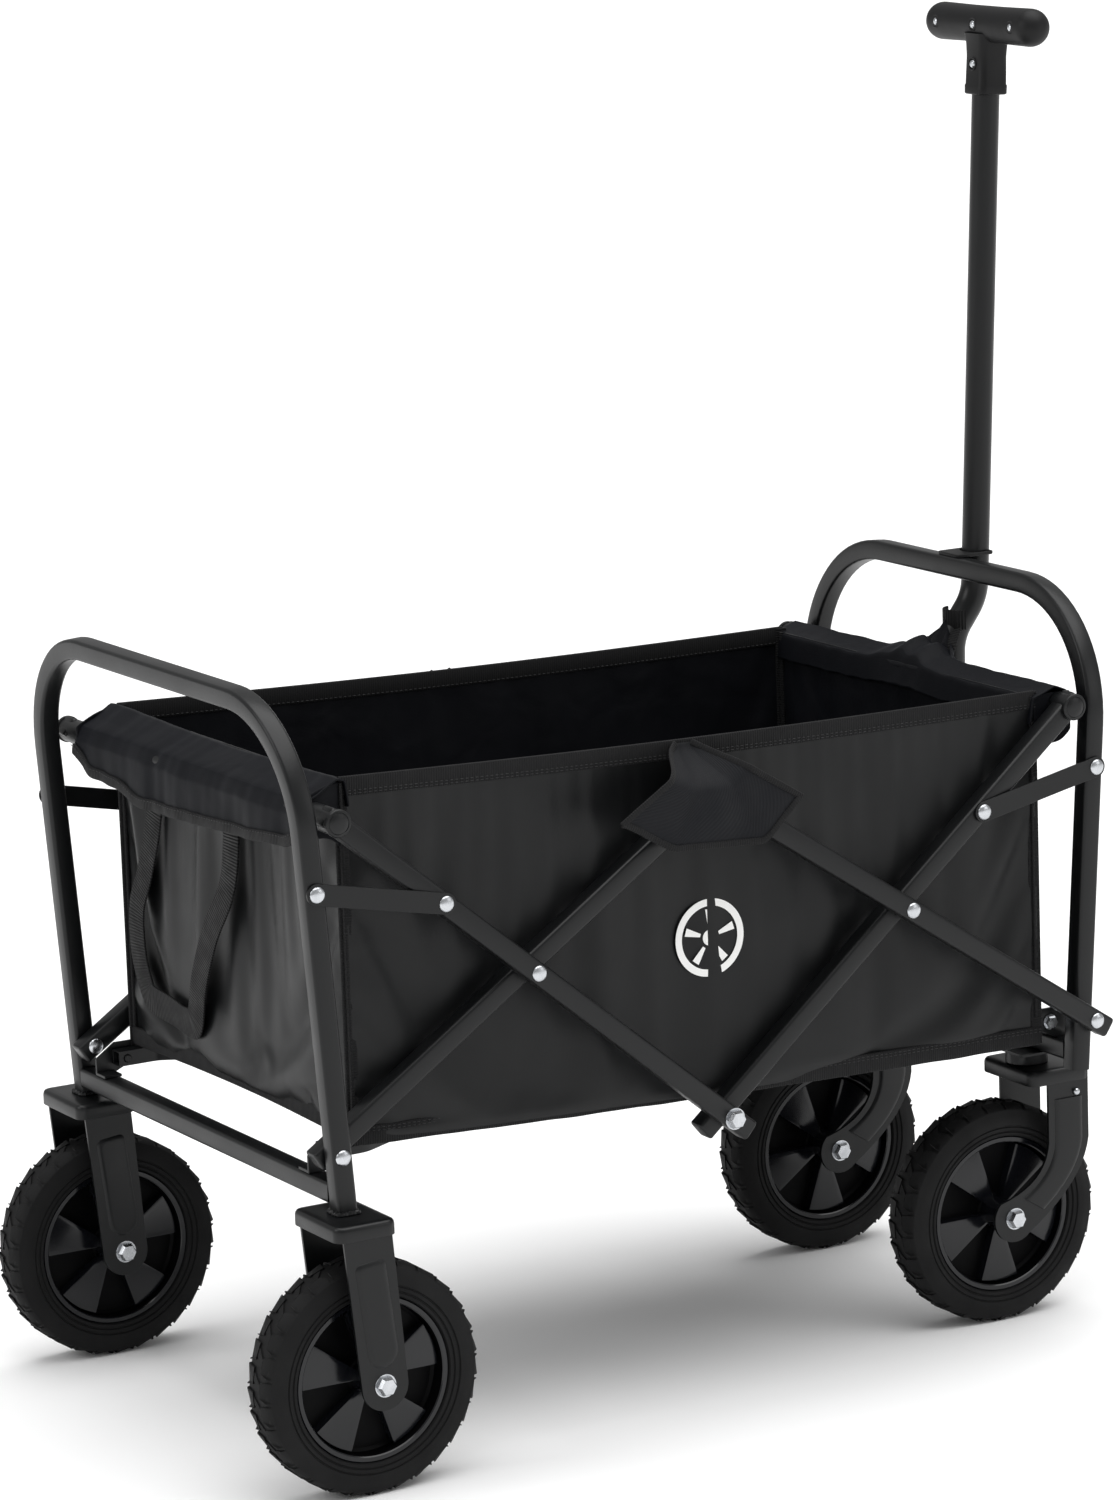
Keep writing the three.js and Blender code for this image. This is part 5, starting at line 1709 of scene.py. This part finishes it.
def thicken(piece: Object, thick: float, levels: int = 1) -> Object:
    """Subdivides a sheet and gives it thickness inwards, its second material on the inside.

    Args:
        piece: the open sheet, facing out.
        thick: the cloth's thickness.
        levels: rounds of subdivision.

    Returns:
        The same piece, closed.
    """
    if levels:
        fine = piece.modifiers.new("fine", "SUBSURF")
        fine.levels = fine.render_levels = levels
    wall = piece.modifiers.new("wall", "SOLIDIFY")
    wall.thickness = thick * MM
    wall.offset = -1.0
    wall.material_offset = 1 if len(piece.data.materials) > 1 else 0
    return freeze(piece)


# Coated 600-denier polyester, as the simulation's weights and stiffnesses.
CANVAS = {
    "quality": 6, "mass": 0.25, "tension_stiffness": 25, "compression_stiffness": 25, "shear_stiffness": 12,
    "bending_stiffness": 0.9,
}


def settle(
    piece: Object, sewn: Callable[[Vector], bool], slack: float, cap: float, frames: int = 22
) -> None:
    """Lets a sheet that is cut too large for its seams buckle and sag under its own weight.

    Args:
        piece: the open sheet.
        sewn: whether a point, in metres, is held by a seam.
        slack: how much larger than the frame the cloth is cut, as a share.
        cap: the most that a point may move.
        frames: steps of the simulation.
    """
    start = [vertex.co.copy() for vertex in piece.data.vertices]
    held = piece.vertex_groups.new(name="sewn")
    held.add([i for i, at in enumerate(start) if sewn(at)], 1.0, "REPLACE")
    cloth = piece.modifiers.new("Cloth", "CLOTH")
    for setting, value in CANVAS.items():
        setattr(cloth.settings, setting, value)
    cloth.settings.vertex_group_mass = "sewn"
    cloth.settings.shrink_min = -slack
    cloth.collision_settings.use_collision = False
    cloth.collision_settings.use_self_collision = False
    scene = bpy.context.scene
    scene.frame_start, scene.frame_end = 1, frames
    for step in range(1, frames + 1):
        scene.frame_set(step)
    evaluated = piece.evaluated_get(bpy.context.evaluated_depsgraph_get())
    moved = [vertex.co.copy() for vertex in evaluated.data.vertices]
    piece.modifiers.clear()
    piece.vertex_groups.clear()
    scene.frame_set(1)
    for vertex, before, after in zip(piece.data.vertices, start, moved):
        shift = after - before
        reach = shift.length
        if reach > 0:
            vertex.co = before + shift * (cap * MM * math.tanh(reach / (cap * MM)) / reach)
    piece.data.update()


def between(points: Outline, at: float) -> float:
    """A smooth value between a few given ones.

    Args:
        points: places and their values, in rising order of place.
        at: the place.

    Returns:
        The value there.
    """
    if at <= points[0][0]:
        return points[0][1]
    for (a, low), (b, high) in zip(points, points[1:]):
        if at <= b:
            t = (at - a) / (b - a)
            return low + (high - low) * t * t * (3 - 2 * t)
    return points[-1][1]


def ruffle(x: float, y: float, seed: float, size: float = 60.0) -> float:
    """A smooth unevenness between -1 and 1 over a surface."""
    return noise.noise(Vector((x / size, y / size, seed)))


@dataclass
class Tub:
    """The hanging tub: side and end panels, flaps, pocket, gussets, loop and floor pads."""

    shop: Workshop
    rear_x: float = -303.0
    front_x: float = 305.0
    side_y: float = 183.0
    rim_rear: float = 525.0
    rim_front: float = 513.0
    hem_rear: float = 251.0
    hem_front: float = 233.0
    cloth: float = 1.4
    tape_width: float = 15.0
    tape_thick: float = 3.4
    webbing_width: float = 25.0
    folded_share: float = 0.274

    def rim(self, x: float) -> float:
        """Height of the side panels' top edge."""
        u = (x - self.rear_x) / (self.front_x - self.rear_x)
        return self.rim_rear + (self.rim_front - self.rim_rear) * u - 3.5 * math.sin(math.pi * u)

    def hem(self, x: float) -> float:
        """Height of the side panels' bottom edge."""
        u = (x - self.rear_x) / (self.front_x - self.rear_x)
        return self.hem_rear + (self.hem_front - self.hem_rear) * u - 2.5 * math.sin(math.pi * u)

    def crumple(self, piece: Object) -> Object:
        """Gives a piece of the sides a mesh of its own."""
        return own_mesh(piece)

    @property
    def length(self) -> float:
        """Length of the side panels."""
        return self.front_x - self.rear_x

    @property
    def side_height(self) -> float:
        """Cut height of the side panels, halfway along."""
        return (self.rim_rear + self.rim_front - self.hem_rear - self.hem_front) / 2

    def side_panel(self, name: str, side: float) -> Object:
        """One side: coated cloth outside, lining inside, slack between its seams."""
        def place(u: float, v: float) -> Vector:
            x = self.rear_x + self.length * u
            low, high = self.hem(x), self.rim(x)
            calm = math.sin(math.pi * u) * math.sin(math.pi * v)
            belly = 2.2 * calm * ruffle(x, v * 280, 3.1 + side, 150) - 1.5 * calm
            return Vector((x, side * (self.side_y - 0.6 + belly), low + (high - low) * v))

        edge = 0.002

        def sewn(at: Vector) -> bool:
            x = (at.x - MIDDLE) / MM
            ends = abs(x - self.rear_x) < edge / MM or abs(x - self.front_x) < edge / MM
            return ends or at.z > self.rim(x) * MM - edge or at.z < self.hem(x) * MM + edge

        draft = Draft()
        draft.sheet(84, 40, place, self.length, self.side_height)
        piece = self.hang(draft, "side_cloth_" + name, Vector((0, side, 0)), sewn, 0.012, 5.0)
        attach(piece, "tub_rear", "fabric", "side_panel_" + name)
        return self.crumple(piece)

    def hang(
        self, draft: Draft, name: str, out: Vector, sewn: Callable[[Vector], bool], slack: float, cap: float
    ) -> Object:
        """Makes a panel of coated cloth with its lining, and lets it hang in its seams.

        Args:
            draft: the drafted sheet.
            name: the piece's name.
            out: the way its coated face looks.
            sewn: whether a point, in metres, is held by a seam.
            slack: how much larger than its frame the cloth is cut, as a share.
            cap: the most that a point may move.

        Returns:
            The panel, not yet on a body.
        """
        piece = draft.build(name, self.shop.finishes.canvas, self.shop.finishes.lining)
        face_out(piece, out)
        settle(piece, sewn, slack, cap)
        return thicken(piece, self.cloth)

    def end_seams(self, half: float, foot: float, head: float) -> Callable[[Vector], bool]:
        """Tells which points of an end panel, in metres, are held by its seams."""
        edge = 0.0025
        return lambda at: (
            at.z > head * MM - edge or at.z < foot * MM + edge or abs(at.y) > half * MM - edge
        )

    def edge_tape(self, draft: Draft, route: Route, facing: Vector, width: float) -> None:
        """A folded tape over a raw edge."""
        draft.ribbon(route, width, self.tape_thick, facing)

    def side_tapes(self, name: str, side: float) -> list[Object]:
        """Tapes and stitches round one side panel."""
        out = Vector((0, side, 0))
        steps = 60
        xs = [self.rear_x + self.length * i / steps for i in range(steps + 1)]
        y = side * (self.side_y - 1.3)
        half = self.tape_width / 2
        top = [Vector((x, y, self.rim(x) - half + 1.2)) for x in xs]
        low = [
            Vector((x, y, self.hem(x) + half - 1.2 + 0.7 * ruffle(x, 0, 7.7, 26))) for x in xs
        ]
        draft = Draft()
        for line in (top, low):
            self.edge_tape(draft, Route.smooth(line, 2), out, self.tape_width)
        for x in (self.rear_x + 2, self.front_x - 2):
            rise = [
                Vector(
                    (x, y - side * 1.0, self.hem(x) + (self.rim(x) - self.hem(x)) * i / 12)
                ) for i in range(13)
            ]
            self.edge_tape(draft, Route.smooth(rise, 2), out, self.tape_width * 0.7)
        tape = self.shop.trim(draft, "side_tape_" + name, "tub_rear", self.shop.finishes.tape)
        face = y + side * (self.tape_thick / 2 + 0.1)
        back = y - side * (self.tape_thick / 2 + 0.1)
        rows = []
        for line, way in ((top, -1), (low, 1)):
            for offset, depth in (
                (way * (half - 2), face), (way * (half - 4.2), face), (way * (half - 2), back)
            ):
                rows.append([Vector((p.x, depth, p.z + offset)) for p in line])
        thread = self.shop.stitches("side_stitches_" + name, rows)
        attach(thread, "tub_rear", "webbing")
        return [self.crumple(tape), self.crumple(thread)]

    def gusset(self, name: str, side: float) -> list[Object]:
        """The fan of nylon that hangs from the rim over the scissor's top joint."""
        peak = ((-21.0, self.rim(-21) - 1), (-7.0, self.rim(-7) - 1))
        foot_x = ((0.0, -94.0), (0.3, -46.0), (0.72, 37.0), (1.0, 65.0))
        foot_z = ((0.0, 469.0), (0.3, 444.0), (0.72, 440.0), (1.0, 470.0))

        def place(u: float, v: float) -> Vector:
            top_x = peak[0][0] + (peak[1][0] - peak[0][0]) * u
            top_z = peak[0][1] + (peak[1][1] - peak[0][1]) * u
            low_x = between(foot_x, u) * 0.5 + 0.5 * (-94 + 159 * u)
            low_z = between(foot_z, u)
            x = top_x + (low_x - top_x) * v
            z = top_z + (low_z - top_z) * v
            rise = between(((0.0, 0.0), (0.42, 1.0)), v)
            pleat = 1.8 * math.sin(u * 13 + v * 3) * v * (1 - 0.4 * v)
            crease = 2.5 * ruffle(x, z, 5.0 + side, 24)
            return Vector((x, side * (self.side_y + 3 + 40.5 * rise + (pleat + crease) * rise * 0.8), z))

        draft = Draft()
        draft.sheet(36, 22, place, 140, 72)
        piece = draft.build("gusset_cloth_" + name, self.shop.finishes.oxford)
        face_out(piece, Vector((0, side, 0)))
        thicken(piece, 1.2)
        attach(piece, "tub_rear", "webbing", "side_gusset_" + name)
        hem = Draft()
        lower = [place(i / 30, 0.985) + Vector((0, side * 0.3, 0)) for i in range(31)]
        rear = [place(0.015, i / 10) + Vector((0, side * 0.3, 0)) for i in range(11)]
        ahead = [place(0.985, i / 10) + Vector((0, side * 0.3, 0)) for i in range(11)]
        for line in (lower, rear, ahead):
            hem.ribbon(Route.smooth(line, 2), 5.0, 2.4, Vector((0, side, 0)))
        binding = self.shop.trim(hem, "gusset_binding_" + name, "tub_rear", self.shop.finishes.tape)
        return [self.crumple(piece), self.crumple(binding)]

    def mark(self, name: str, side: float) -> None:
        """A plain printed wheel sign: a ring, a dot and five spokes."""
        centre = Vector((6.0, 0, 362.0))
        outer, inner, dot = 30.0, 24.5, 6.0
        y = side * (self.side_y + 0.2)
        draft = Draft()

        def flat(outline: Outline) -> None:
            rings = []
            for depth in (0.0, 0.25):
                rings.append([Vector((centre.x + u, y + side * depth, centre.z + v)) for u, v in outline])
            draft.rings(rings)

        ring = []
        for r, depth in ((outer, 0.0), (outer, 0.25), (inner, 0.25), (inner, 0.0), (outer, 0.0)):
            ring.append([Vector((centre.x + u, y + side * depth, centre.z + v)) for u, v in circle(r, 64)])
        draft.rings(ring, caps=False)
        flat(circle(dot, 32))
        for spoke in range(5):
            angle = math.pi / 2 + math.tau * spoke / 5
            along = Vector((math.cos(angle), math.sin(angle)))
            across_it = Vector((-along.y, along.x))
            corners = [
                along * (dot + 2.5) + across_it * 1.3, along * (dot + 2.5) - across_it * 1.3,
                along * (inner - 2.5) - across_it * 3.2, along * (inner - 2.5) + across_it * 3.2,
            ]
            flat([tuple(c) for c in corners])
        piece = draft.build("printed_sign_" + name, self.shop.finishes.ink)
        attach(piece, "tub_rear", "fabric")
        self.crumple(piece)

    def rear_panel(self) -> list[Object]:
        """The rear end: slack cloth with soft upright folds, taped at its foot."""
        half = self.side_y - 3
        foot, head = 256.0, self.rim_rear - 3

        def place(u: float, v: float) -> Vector:
            y = -half + 2 * half * u
            z = foot + (head - foot) * v + 4 * (1 - v) * math.sin(math.pi * u)
            calm = math.sin(math.pi * u) ** 0.5 * math.sin(math.pi * min(v * 1.1, 1.0))
            fold = 2.4 * math.sin(
                y / 24 + 1.3 * math.sin(z / 95)
            ) + 2.6 * ruffle(y * 1.6, z * 0.35, 11.0, 50)
            pleat = 8.0 * math.exp(-(((y - 148 - 5 * math.sin(z / 34)) / 13) ** 2))
            dip = 5.0 * math.exp(-(((y - 122) / 14) ** 2))
            return Vector((self.rear_x + 1.4 - calm * (fold * 0.7 + pleat - dip), y, z))

        draft = Draft()
        draft.sheet(56, 40, place, 2 * half, head - foot)
        seams = self.end_seams(half, foot + 5, head)
        piece = self.hang(draft, "rear_cloth", Vector((-1, 0, 0)), seams, 0.03, 8.0)
        attach(piece, "tub_rear", "fabric", "rear_panel")
        foot_line = [place(i / 40, 0.02) + Vector((-1.6, 0, 0)) for i in range(41)]
        draft = Draft()
        self.edge_tape(draft, Route.smooth(foot_line, 2), Vector((-1, 0, 0)), self.tape_width)
        for side in (-1, 1):
            corner = [
                Vector(
                    (self.rear_x + 0.5, side * (half + 1.0), foot + (head - foot) * i / 10)
                ) for i in range(11)
            ]
            draft.ribbon(Route.smooth(corner, 2), 9.0, 3.0, Vector((-1, 0, 0)))
        tape = self.shop.trim(draft, "rear_tape", "tub_rear", self.shop.finishes.tape)
        return [piece, tape]

    def loop(self) -> Object:
        """The webbing loop that lifts the folded wagon."""
        x = self.rear_x
        stations = (
            (5, 112, 486), (6, 113, 449), (9, 126, 405), (12, 138, 374), (12, 139, 340), (10, 134, 315),
            (9, 124, 303), (8, 92, 299), (9, 64, 296), (11, 47, 302), (14, 31, 336), (14, 8, 378),
            (10, -14, 414), (7, -19, 448), (5, -17, 486),
        )
        points = [Vector((x - out, y, z)) for out, y, z in stations]
        draft = Draft()
        route = Route.smooth(points, 6)
        draft.ribbon(
            route, self.webbing_width, 1.8, lambda share: Vector((-1, 0, 0.15 * math.sin(share * 9)))
        )
        piece = draft.build("carry_loop", self.shop.finishes.webbing)
        return attach(piece, "tub_rear", "webbing")

    def flap_place(self, end: float, fold: Height, foot: Height, lift: Height) -> Place:
        """The surface of a sleeve that runs from the rim over a cross tube and down outside.

        Args:
            end: -1 at the rear, 1 at the front.
            fold: height of the fold line at a Y.
            foot: height of the lower edge at a Y.
            lift: how far the sleeve is pulled up at a Y.

        Returns:
            The point at two shares: along Y, and from the inner edge to the lower edge.
        """
        tube = PLAN.cross_tube
        rim_x = -self.rear_x if end < 0 else self.front_x
        reach = PLAN.inner - PLAN.tube / 2 - 2

        def place(u: float, v: float) -> Vector:
            y = -reach + 2 * reach * u
            high, low, up = fold(y), foot(y), lift(y)
            stations = (
                (0.0, rim_x - 6.5, high - 22), (0.2, rim_x - 4.0, high - 2), (0.27, rim_x + 3.0, high),
                (0.5, -tube.x - 4.0, tube.z + 14.5), (0.62, -tube.x + 7.0, tube.z + 10.0),
                (0.72, -tube.x + 12.0, tube.z - 1.0), (1.0, -tube.x + 13.0, low),
            )
            x = between([(s, a) for s, a, _ in stations], v)
            z = between([(s, b) for s, _, b in stations], v)
            pull = math.sin(math.pi * min(v / 0.8, 1.0)) * up
            out = 1.6 * ruffle(y, v * 60, 20 + end, 34) + 1.1 * ruffle(y * 2.2, v * 20, 31 + end, 30)
            return Vector((end * (x + out * (0.3 + v) + pull * 0.6), y, z + out * (1 - v) * 0.8 + pull))

        return place

    def rear_flap(self) -> list[Object]:
        """The rear sleeve over the cross tube, with its bound wavy edge."""
        line = (
            (-190, 487), (-159, 480), (-90, 476), (-14, 473), (40, 471), (71, 470), (118, 478), (150, 480),
            (190, 494),
        )
        place = self.flap_place(
            -1, lambda y: 524.5 - 1.5 * math.cos(y / 60), lambda y: between(line, y), lambda y: 0.0
        )
        return self.sleeve("rear_flap", "tub_rear", place, Vector((-1, 0, 0)))

    def front_flap(self) -> list[Object]:
        """The front sleeve, pulled up in its middle by the keeper strap."""
        line = ((-190, 492), (-100, 486), (-20, 490), (20, 491), (110, 486), (190, 493))
        place = self.flap_place(
            1, lambda y: 511.0 + 3 * math.exp(-((y / 50) ** 2)), lambda y: between(line, y),
            lambda y: 11.0 * math.exp(-((y / 30) ** 2)) * (1 + 0.25 * math.sin(y / 4.2)),
        )
        return self.sleeve("front_flap", "tub_front", place, Vector((1, 0, 0)))

    def sleeve(self, node: str, body: str, place: Place, out: Vector) -> list[Object]:
        """Makes a flap from its surface, with tape and stitches on its lower edge."""
        finishes = self.shop.finishes
        draft = Draft()
        width = 2 * (PLAN.inner - PLAN.tube / 2 - 2)
        draft.sheet(120, 26, place, width, 92)
        piece = draft.build(node + "_cloth", finishes.lining)
        face_out(piece, out)
        thicken(piece, self.cloth)
        attach(piece, body, "fabric", node)
        lower = [place(i / 60, 0.985) + out * 0.4 for i in range(61)]
        draft = Draft()
        draft.ribbon(Route.smooth(lower, 2), 9.0, 2.8, out)
        tape = self.shop.trim(draft, node + "_binding", body, finishes.tape)
        rows = [[p + out * 1.9 + Vector((0, 0, 3.0)) for p in lower]]
        thread = self.shop.stitches(node + "_stitches", rows)
        attach(thread, body, "webbing")
        return [piece, tape, thread]

    def corner_cloth(self, end: int, body: str) -> Object:
        """Both cloth corners that close a sleeve's ends beside the cross tube.

        Args:
            end: -1 at the rear, 1 at the front.
            body: the body that the sleeve rides on.

        Returns:
            The piece.
        """
        tube = PLAN.cross_tube
        rim_x = -self.rear_x if end < 0 else self.front_x
        rim_z = self.rim_rear if end < 0 else self.rim_front
        draft = Draft()
        for side in (-1, 1):
            def place(u: float, v: float) -> Vector:
                x = rim_x - 1.0 + (-tube.x + 12.0 - rim_x) * u
                top = rim_z - 2.0 - (rim_z - 2.0 - (tube.z + 9.0)) * u ** 2
                low = rim_z - 52.0 + 20.0 * u + 3.0 * math.sin(u * 6)
                wave = 1.8 * math.sin(v * 7 + u * 4) * u * (1 - u) * 4
                return Vector(
                    (end * x, side * (self.side_y + 0.6 + 2.0 * u + wave * 0.5), low + (top - low) * v)
                )

            draft.sheet(12, 14, place, 36, 50)
        piece = draft.build(("rear" if end < 0 else "front") + "_corner_cloth", self.shop.finishes.lining)
        thicken(piece, 1.0)
        return attach(piece, body, "fabric")

    def front_panel(self) -> list[Object]:
        """The front end, taped at its foot and up its corners."""
        half = self.side_y - 3
        foot, head = 255.0, self.rim_front - 3

        def place(u: float, v: float) -> Vector:
            y = -half + 2 * half * u
            z = foot + (head - foot) * v
            calm = math.sin(math.pi * u) * math.sin(math.pi * v)
            fold = 3.0 * ruffle(y * 1.5, z * 0.4, 40.0, 55) * calm
            return Vector((self.front_x - 1.4 + fold, y, z))

        draft = Draft()
        draft.sheet(50, 36, place, 2 * half, head - foot)
        seams = self.end_seams(half, foot, head)
        piece = self.hang(draft, "front_cloth", Vector((1, 0, 0)), seams, 0.02, 3.0)
        attach(piece, "tub_front", "fabric", "front_panel")
        draft = Draft()
        foot_line = [place(i / 40, 0.02) + Vector((1.6, 0, 0)) for i in range(41)]
        self.edge_tape(draft, Route.smooth(foot_line, 2), Vector((1, 0, 0)), self.tape_width)
        for side in (-1, 1):
            corner = [
                Vector(
                    (self.front_x - 3.6, side * (half - 0.4), foot + (head - foot) * i / 10)
                ) for i in range(11)
            ]
            draft.ribbon(Route.smooth(corner, 2), 10.0, 2.4, Vector((-1, 0, 0)))
        tape = self.shop.trim(draft, "front_tape", "tub_front", self.shop.finishes.tape)
        return [piece, tape]

    def pocket(self) -> list[Object]:
        """The net pocket: a knotted net on a bellied surface, held by an elastic band."""
        half, foot, head = 172.0, 256.0, 404.0

        def place(u: float, v: float) -> Vector:
            y = -half + 2 * half * u
            out = min(1.0, 24 * u, 24 * (1 - u)) ** 0.7
            belly = 9.5 * out * math.sin(math.pi * (0.12 + 0.8 * v)) * (1 + 0.12 * math.sin(v * 15))
            sag = 7.0 * math.sin(math.pi * u) * v
            return Vector((self.front_x + 2.2 + belly, y, foot + (head - foot) * v - sag))

        draft = Draft()
        draft.sheet(64, 28, place, 2 * half, head - foot)
        net = draft.build("pocket_net", self.shop.finishes.webbing)
        face_out(net, Vector((1, 0, 0)))
        form = bmesh.new()
        form.from_mesh(net.data)
        bmesh.ops.poke(form, faces=form.faces)
        straight = [
            e for e in form.edges if all(len(v.link_edges) > 4 for v in e.verts) and not e.is_boundary
        ]
        bmesh.ops.dissolve_edges(form, edges=straight, use_verts=False)
        form.to_mesh(net.data)
        form.free()
        wire = net.modifiers.new("cords", "WIREFRAME")
        wire.thickness = 0.9 * MM
        wire.use_even_offset = False
        freeze(net)
        attach(net, "tub_front", "mesh", "mesh_pocket")
        band = [place(i / 40, 1.0) for i in range(41)]
        ends = [[place(u, i / 8) for i in range(9)] for u in (0.0, 1.0)]
        draft = Draft()
        for line in (band, *ends, [place(i / 40, 0.0) for i in range(41)]):
            draft.ribbon(Route.smooth(line, 2), 11.0, 2.6, Vector((1, 0, 0)))
        elastic = self.shop.trim(draft, "pocket_elastic", "tub_front", self.shop.finishes.tape)
        return [net, elastic]

    def keeper(self) -> None:
        """The pleated tab that keeps the front sleeve up against the handle's neck."""
        neck = Vector((345.5, 0, 530))

        def place(u: float, v: float) -> Vector:
            spread = (u - 0.5) * 2
            root = Vector((316 + 6 * abs(spread), spread * 50, 512))
            tip = Vector((neck.x + 1, spread * 9, neck.z + 10 - 15 * abs(spread)))
            at = root + (tip - root) * v
            pleat = 4.2 * math.sin(u * 30) * math.sin(math.pi * min(v * 0.8 + 0.15, 1.0))
            sag = -5 * math.sin(math.pi * v) * (1 - 0.4 * abs(spread))
            return at + Vector((0, 0.4 * pleat, pleat + sag + 3 * ruffle(at.x, at.y, 51, 16)))

        draft = Draft()
        draft.sheet(84, 22, place, 100, 46)
        piece = draft.build("keeper_gather", self.shop.finishes.lining)
        face_out(piece, Vector((0, 0, 1)))
        thicken(piece, 1.3)
        attach(piece, "tub_front", "fabric")
        tube_x = 360.5
        draft = Draft()
        around = arc(tube_x, 0.0, 13.2, math.radians(105), math.radians(255), 12)
        route = Route.smooth([Vector((x, y, 540)) for x, y in around], 4)
        centre = Vector((tube_x, 0, 540))
        base = len(route.stations) - 1
        draft.ribbon(
            route, 16.0, 2.0, lambda share: (route.stations[round(share * base)] - centre).normalized()
        )
        tail = [
            Vector((neck.x + 3, -6, 531)), Vector((340, -12, 520)), Vector((335, -15, 508)),
            Vector((336, -17, 494)),
        ]
        draft.ribbon(Route.smooth(tail, 6), 20.0, 2.0, Vector((-0.6, 0.1, 0.8)))
        attach(draft.build("keeper_strap", self.shop.finishes.webbing), "tub_front", "webbing")

    def floor_pads(self) -> None:
        """The two stiffened halves of the floor, in quilted lining."""
        for name, x0, x1 in (("rear", self.rear_x + 3.4, -2.0), ("front", 2.0, self.front_x - 3.4)):
            low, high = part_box(name + "_floor_board")
            top = high.z / MM
            centre = Vector(((x0 + x1) / 2, 0, top))
            steps = (
                (60, 0.9), (26, 0.7), (9, 0.5), (3, 0.0), (0.6, -1.2), (0, -2.5), (0.6, -3.8), (3, -4.8),
                (60, -4.9),
            )
            draft = Draft()
            draft.tray(centre, x1 - x0, 2 * (self.side_y - 6), 12, steps)
            draft.flat = [(p.x * MM, p.y * MM) for p in draft.points]
            piece = draft.build(name + "_floor_pad", self.shop.finishes.lining)
            attach(piece, name + "_floor_arms", "fabric", name + "_floor_board")
            rows = []
            for inset in (14.0, 17.0):
                a, b, w = x0 + inset, x1 - inset, self.side_y - 6 - inset
                corners = [(a, -w), (b, -w), (b, w), (a, w), (a, -w)]
                rows.append([Vector((x, y, top + 0.75)) for x, y in corners])
            thread = self.shop.stitches(name + "_pad_stitches", rows)
            attach(thread, name + "_floor_arms", "webbing")

    def make(self) -> None:
        """Builds the tub."""
        for name, side in SIDES:
            panel = self.side_panel(name, side)
            tapes = self.side_tapes(name, side)
            fan, binding = self.gusset(name, side)
            self.mark(name, side)
        rear, rear_tape = self.rear_panel()
        loop = self.loop()
        flap, *trims = self.rear_flap()
        trims.append(self.corner_cloth(-1, "tub_rear"))
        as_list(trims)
        front, front_tape = self.front_panel()
        flap, *trims = self.front_flap()
        trims.append(self.corner_cloth(1, "tub_front"))
        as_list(trims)
        self.pocket()
        self.keeper()
        self.floor_pads()


# ---- Stage ----


@dataclass
class Studio:
    """Pale floor, soft light and the camera."""

    shop: Workshop
    eye: tuple[float, float, float] = (-2.2270, -3.8687, 1.3751)
    yaw: float = -29.725
    pitch: float = -11.361
    roll: float = -1.954
    lens: float = 141.0
    sensor: float = 36.0

    def floor(self) -> None:
        """A wide plain floor."""
        mesh = bpy.data.meshes.new("studio_floor")
        half = 40.0
        mesh.from_pydata(
            [(-half, -half, 0), (half, -half, 0), (half, half, 0), (-half, half, 0)], [], [(0, 1, 2, 3)]
        )
        mesh.materials.append(self.shop.finishes.floor)
        put("studio_floor", mesh)

    def lamp(
        self, name: str, at: tuple[float, float, float], aim: tuple[float, float, float], size: float,
        watts: float,
    ) -> None:
        """A large soft lamp."""
        light = bpy.data.lights.new(name, "AREA")
        light.shape = "SQUARE"
        light.size = size
        light.energy = watts
        lamp = put(name, light)
        lamp.location = at
        lamp.rotation_euler = (Vector(aim) - Vector(at)).to_track_quat("-Z", "Y").to_euler()

    def camera(self) -> None:
        """The camera at its measured place, turned by yaw, pitch and roll."""
        yaw, pitch, roll = (math.radians(a) for a in (self.yaw, self.pitch, self.roll))
        ahead = Vector((-math.sin(yaw) * math.cos(pitch), math.cos(yaw) * math.cos(pitch), math.sin(pitch)))
        level = Vector((math.cos(yaw), math.sin(yaw), 0))
        upright = level.cross(ahead)
        right = level * math.cos(roll) + upright * math.sin(roll)
        up = upright * math.cos(roll) - level * math.sin(roll)
        data = bpy.data.cameras.new("camera")
        data.sensor_fit = "AUTO"
        data.sensor_width = self.sensor
        data.lens = self.lens
        data.clip_end = 60
        camera = put("camera", data)
        turn = Matrix((right, up, -ahead)).transposed()
        camera.matrix_world = Matrix.Translation(self.eye) @ turn.to_4x4()
        bpy.context.scene.camera = camera

    def make(self) -> None:
        """Sets the stage."""
        self.floor()
        world = bpy.data.worlds.new("studio")
        world.use_nodes = True
        world.node_tree.nodes["Background"].inputs[0].default_value = (1.0, 1.0, 1.0, 1.0)
        world.node_tree.nodes["Background"].inputs[1].default_value = 0.45
        bpy.context.scene.world = world
        self.lamp("key", (-3.0, 0.4, 2.2), (0, 0, 0.3), 1.6, 26)
        self.lamp("fill", (2.4, -3.2, 1.8), (0, 0, 0.3), 1.8, 12)
        sky = bpy.data.lights.new("overhead", "SUN")
        sky.angle = math.radians(70)
        sky.energy = 2.9
        overhead = put("overhead", sky)
        overhead.rotation_euler = (math.radians(6), math.radians(8), 0)
        self.camera()
        bpy.context.scene.view_settings.view_transform = "Standard"


def main() -> None:
    """Builds the wagon round its frame."""
    logging.basicConfig(level=logging.INFO, format="%(message)s")
    shop = Workshop()
    Studio(shop).make()
    EndFrames(shop).make()
    Scissor(shop).make()
    RollingGear(shop).make()
    PullHandle(shop).make()
    Tub(shop).make()


if __name__ == "__main__":
    main()
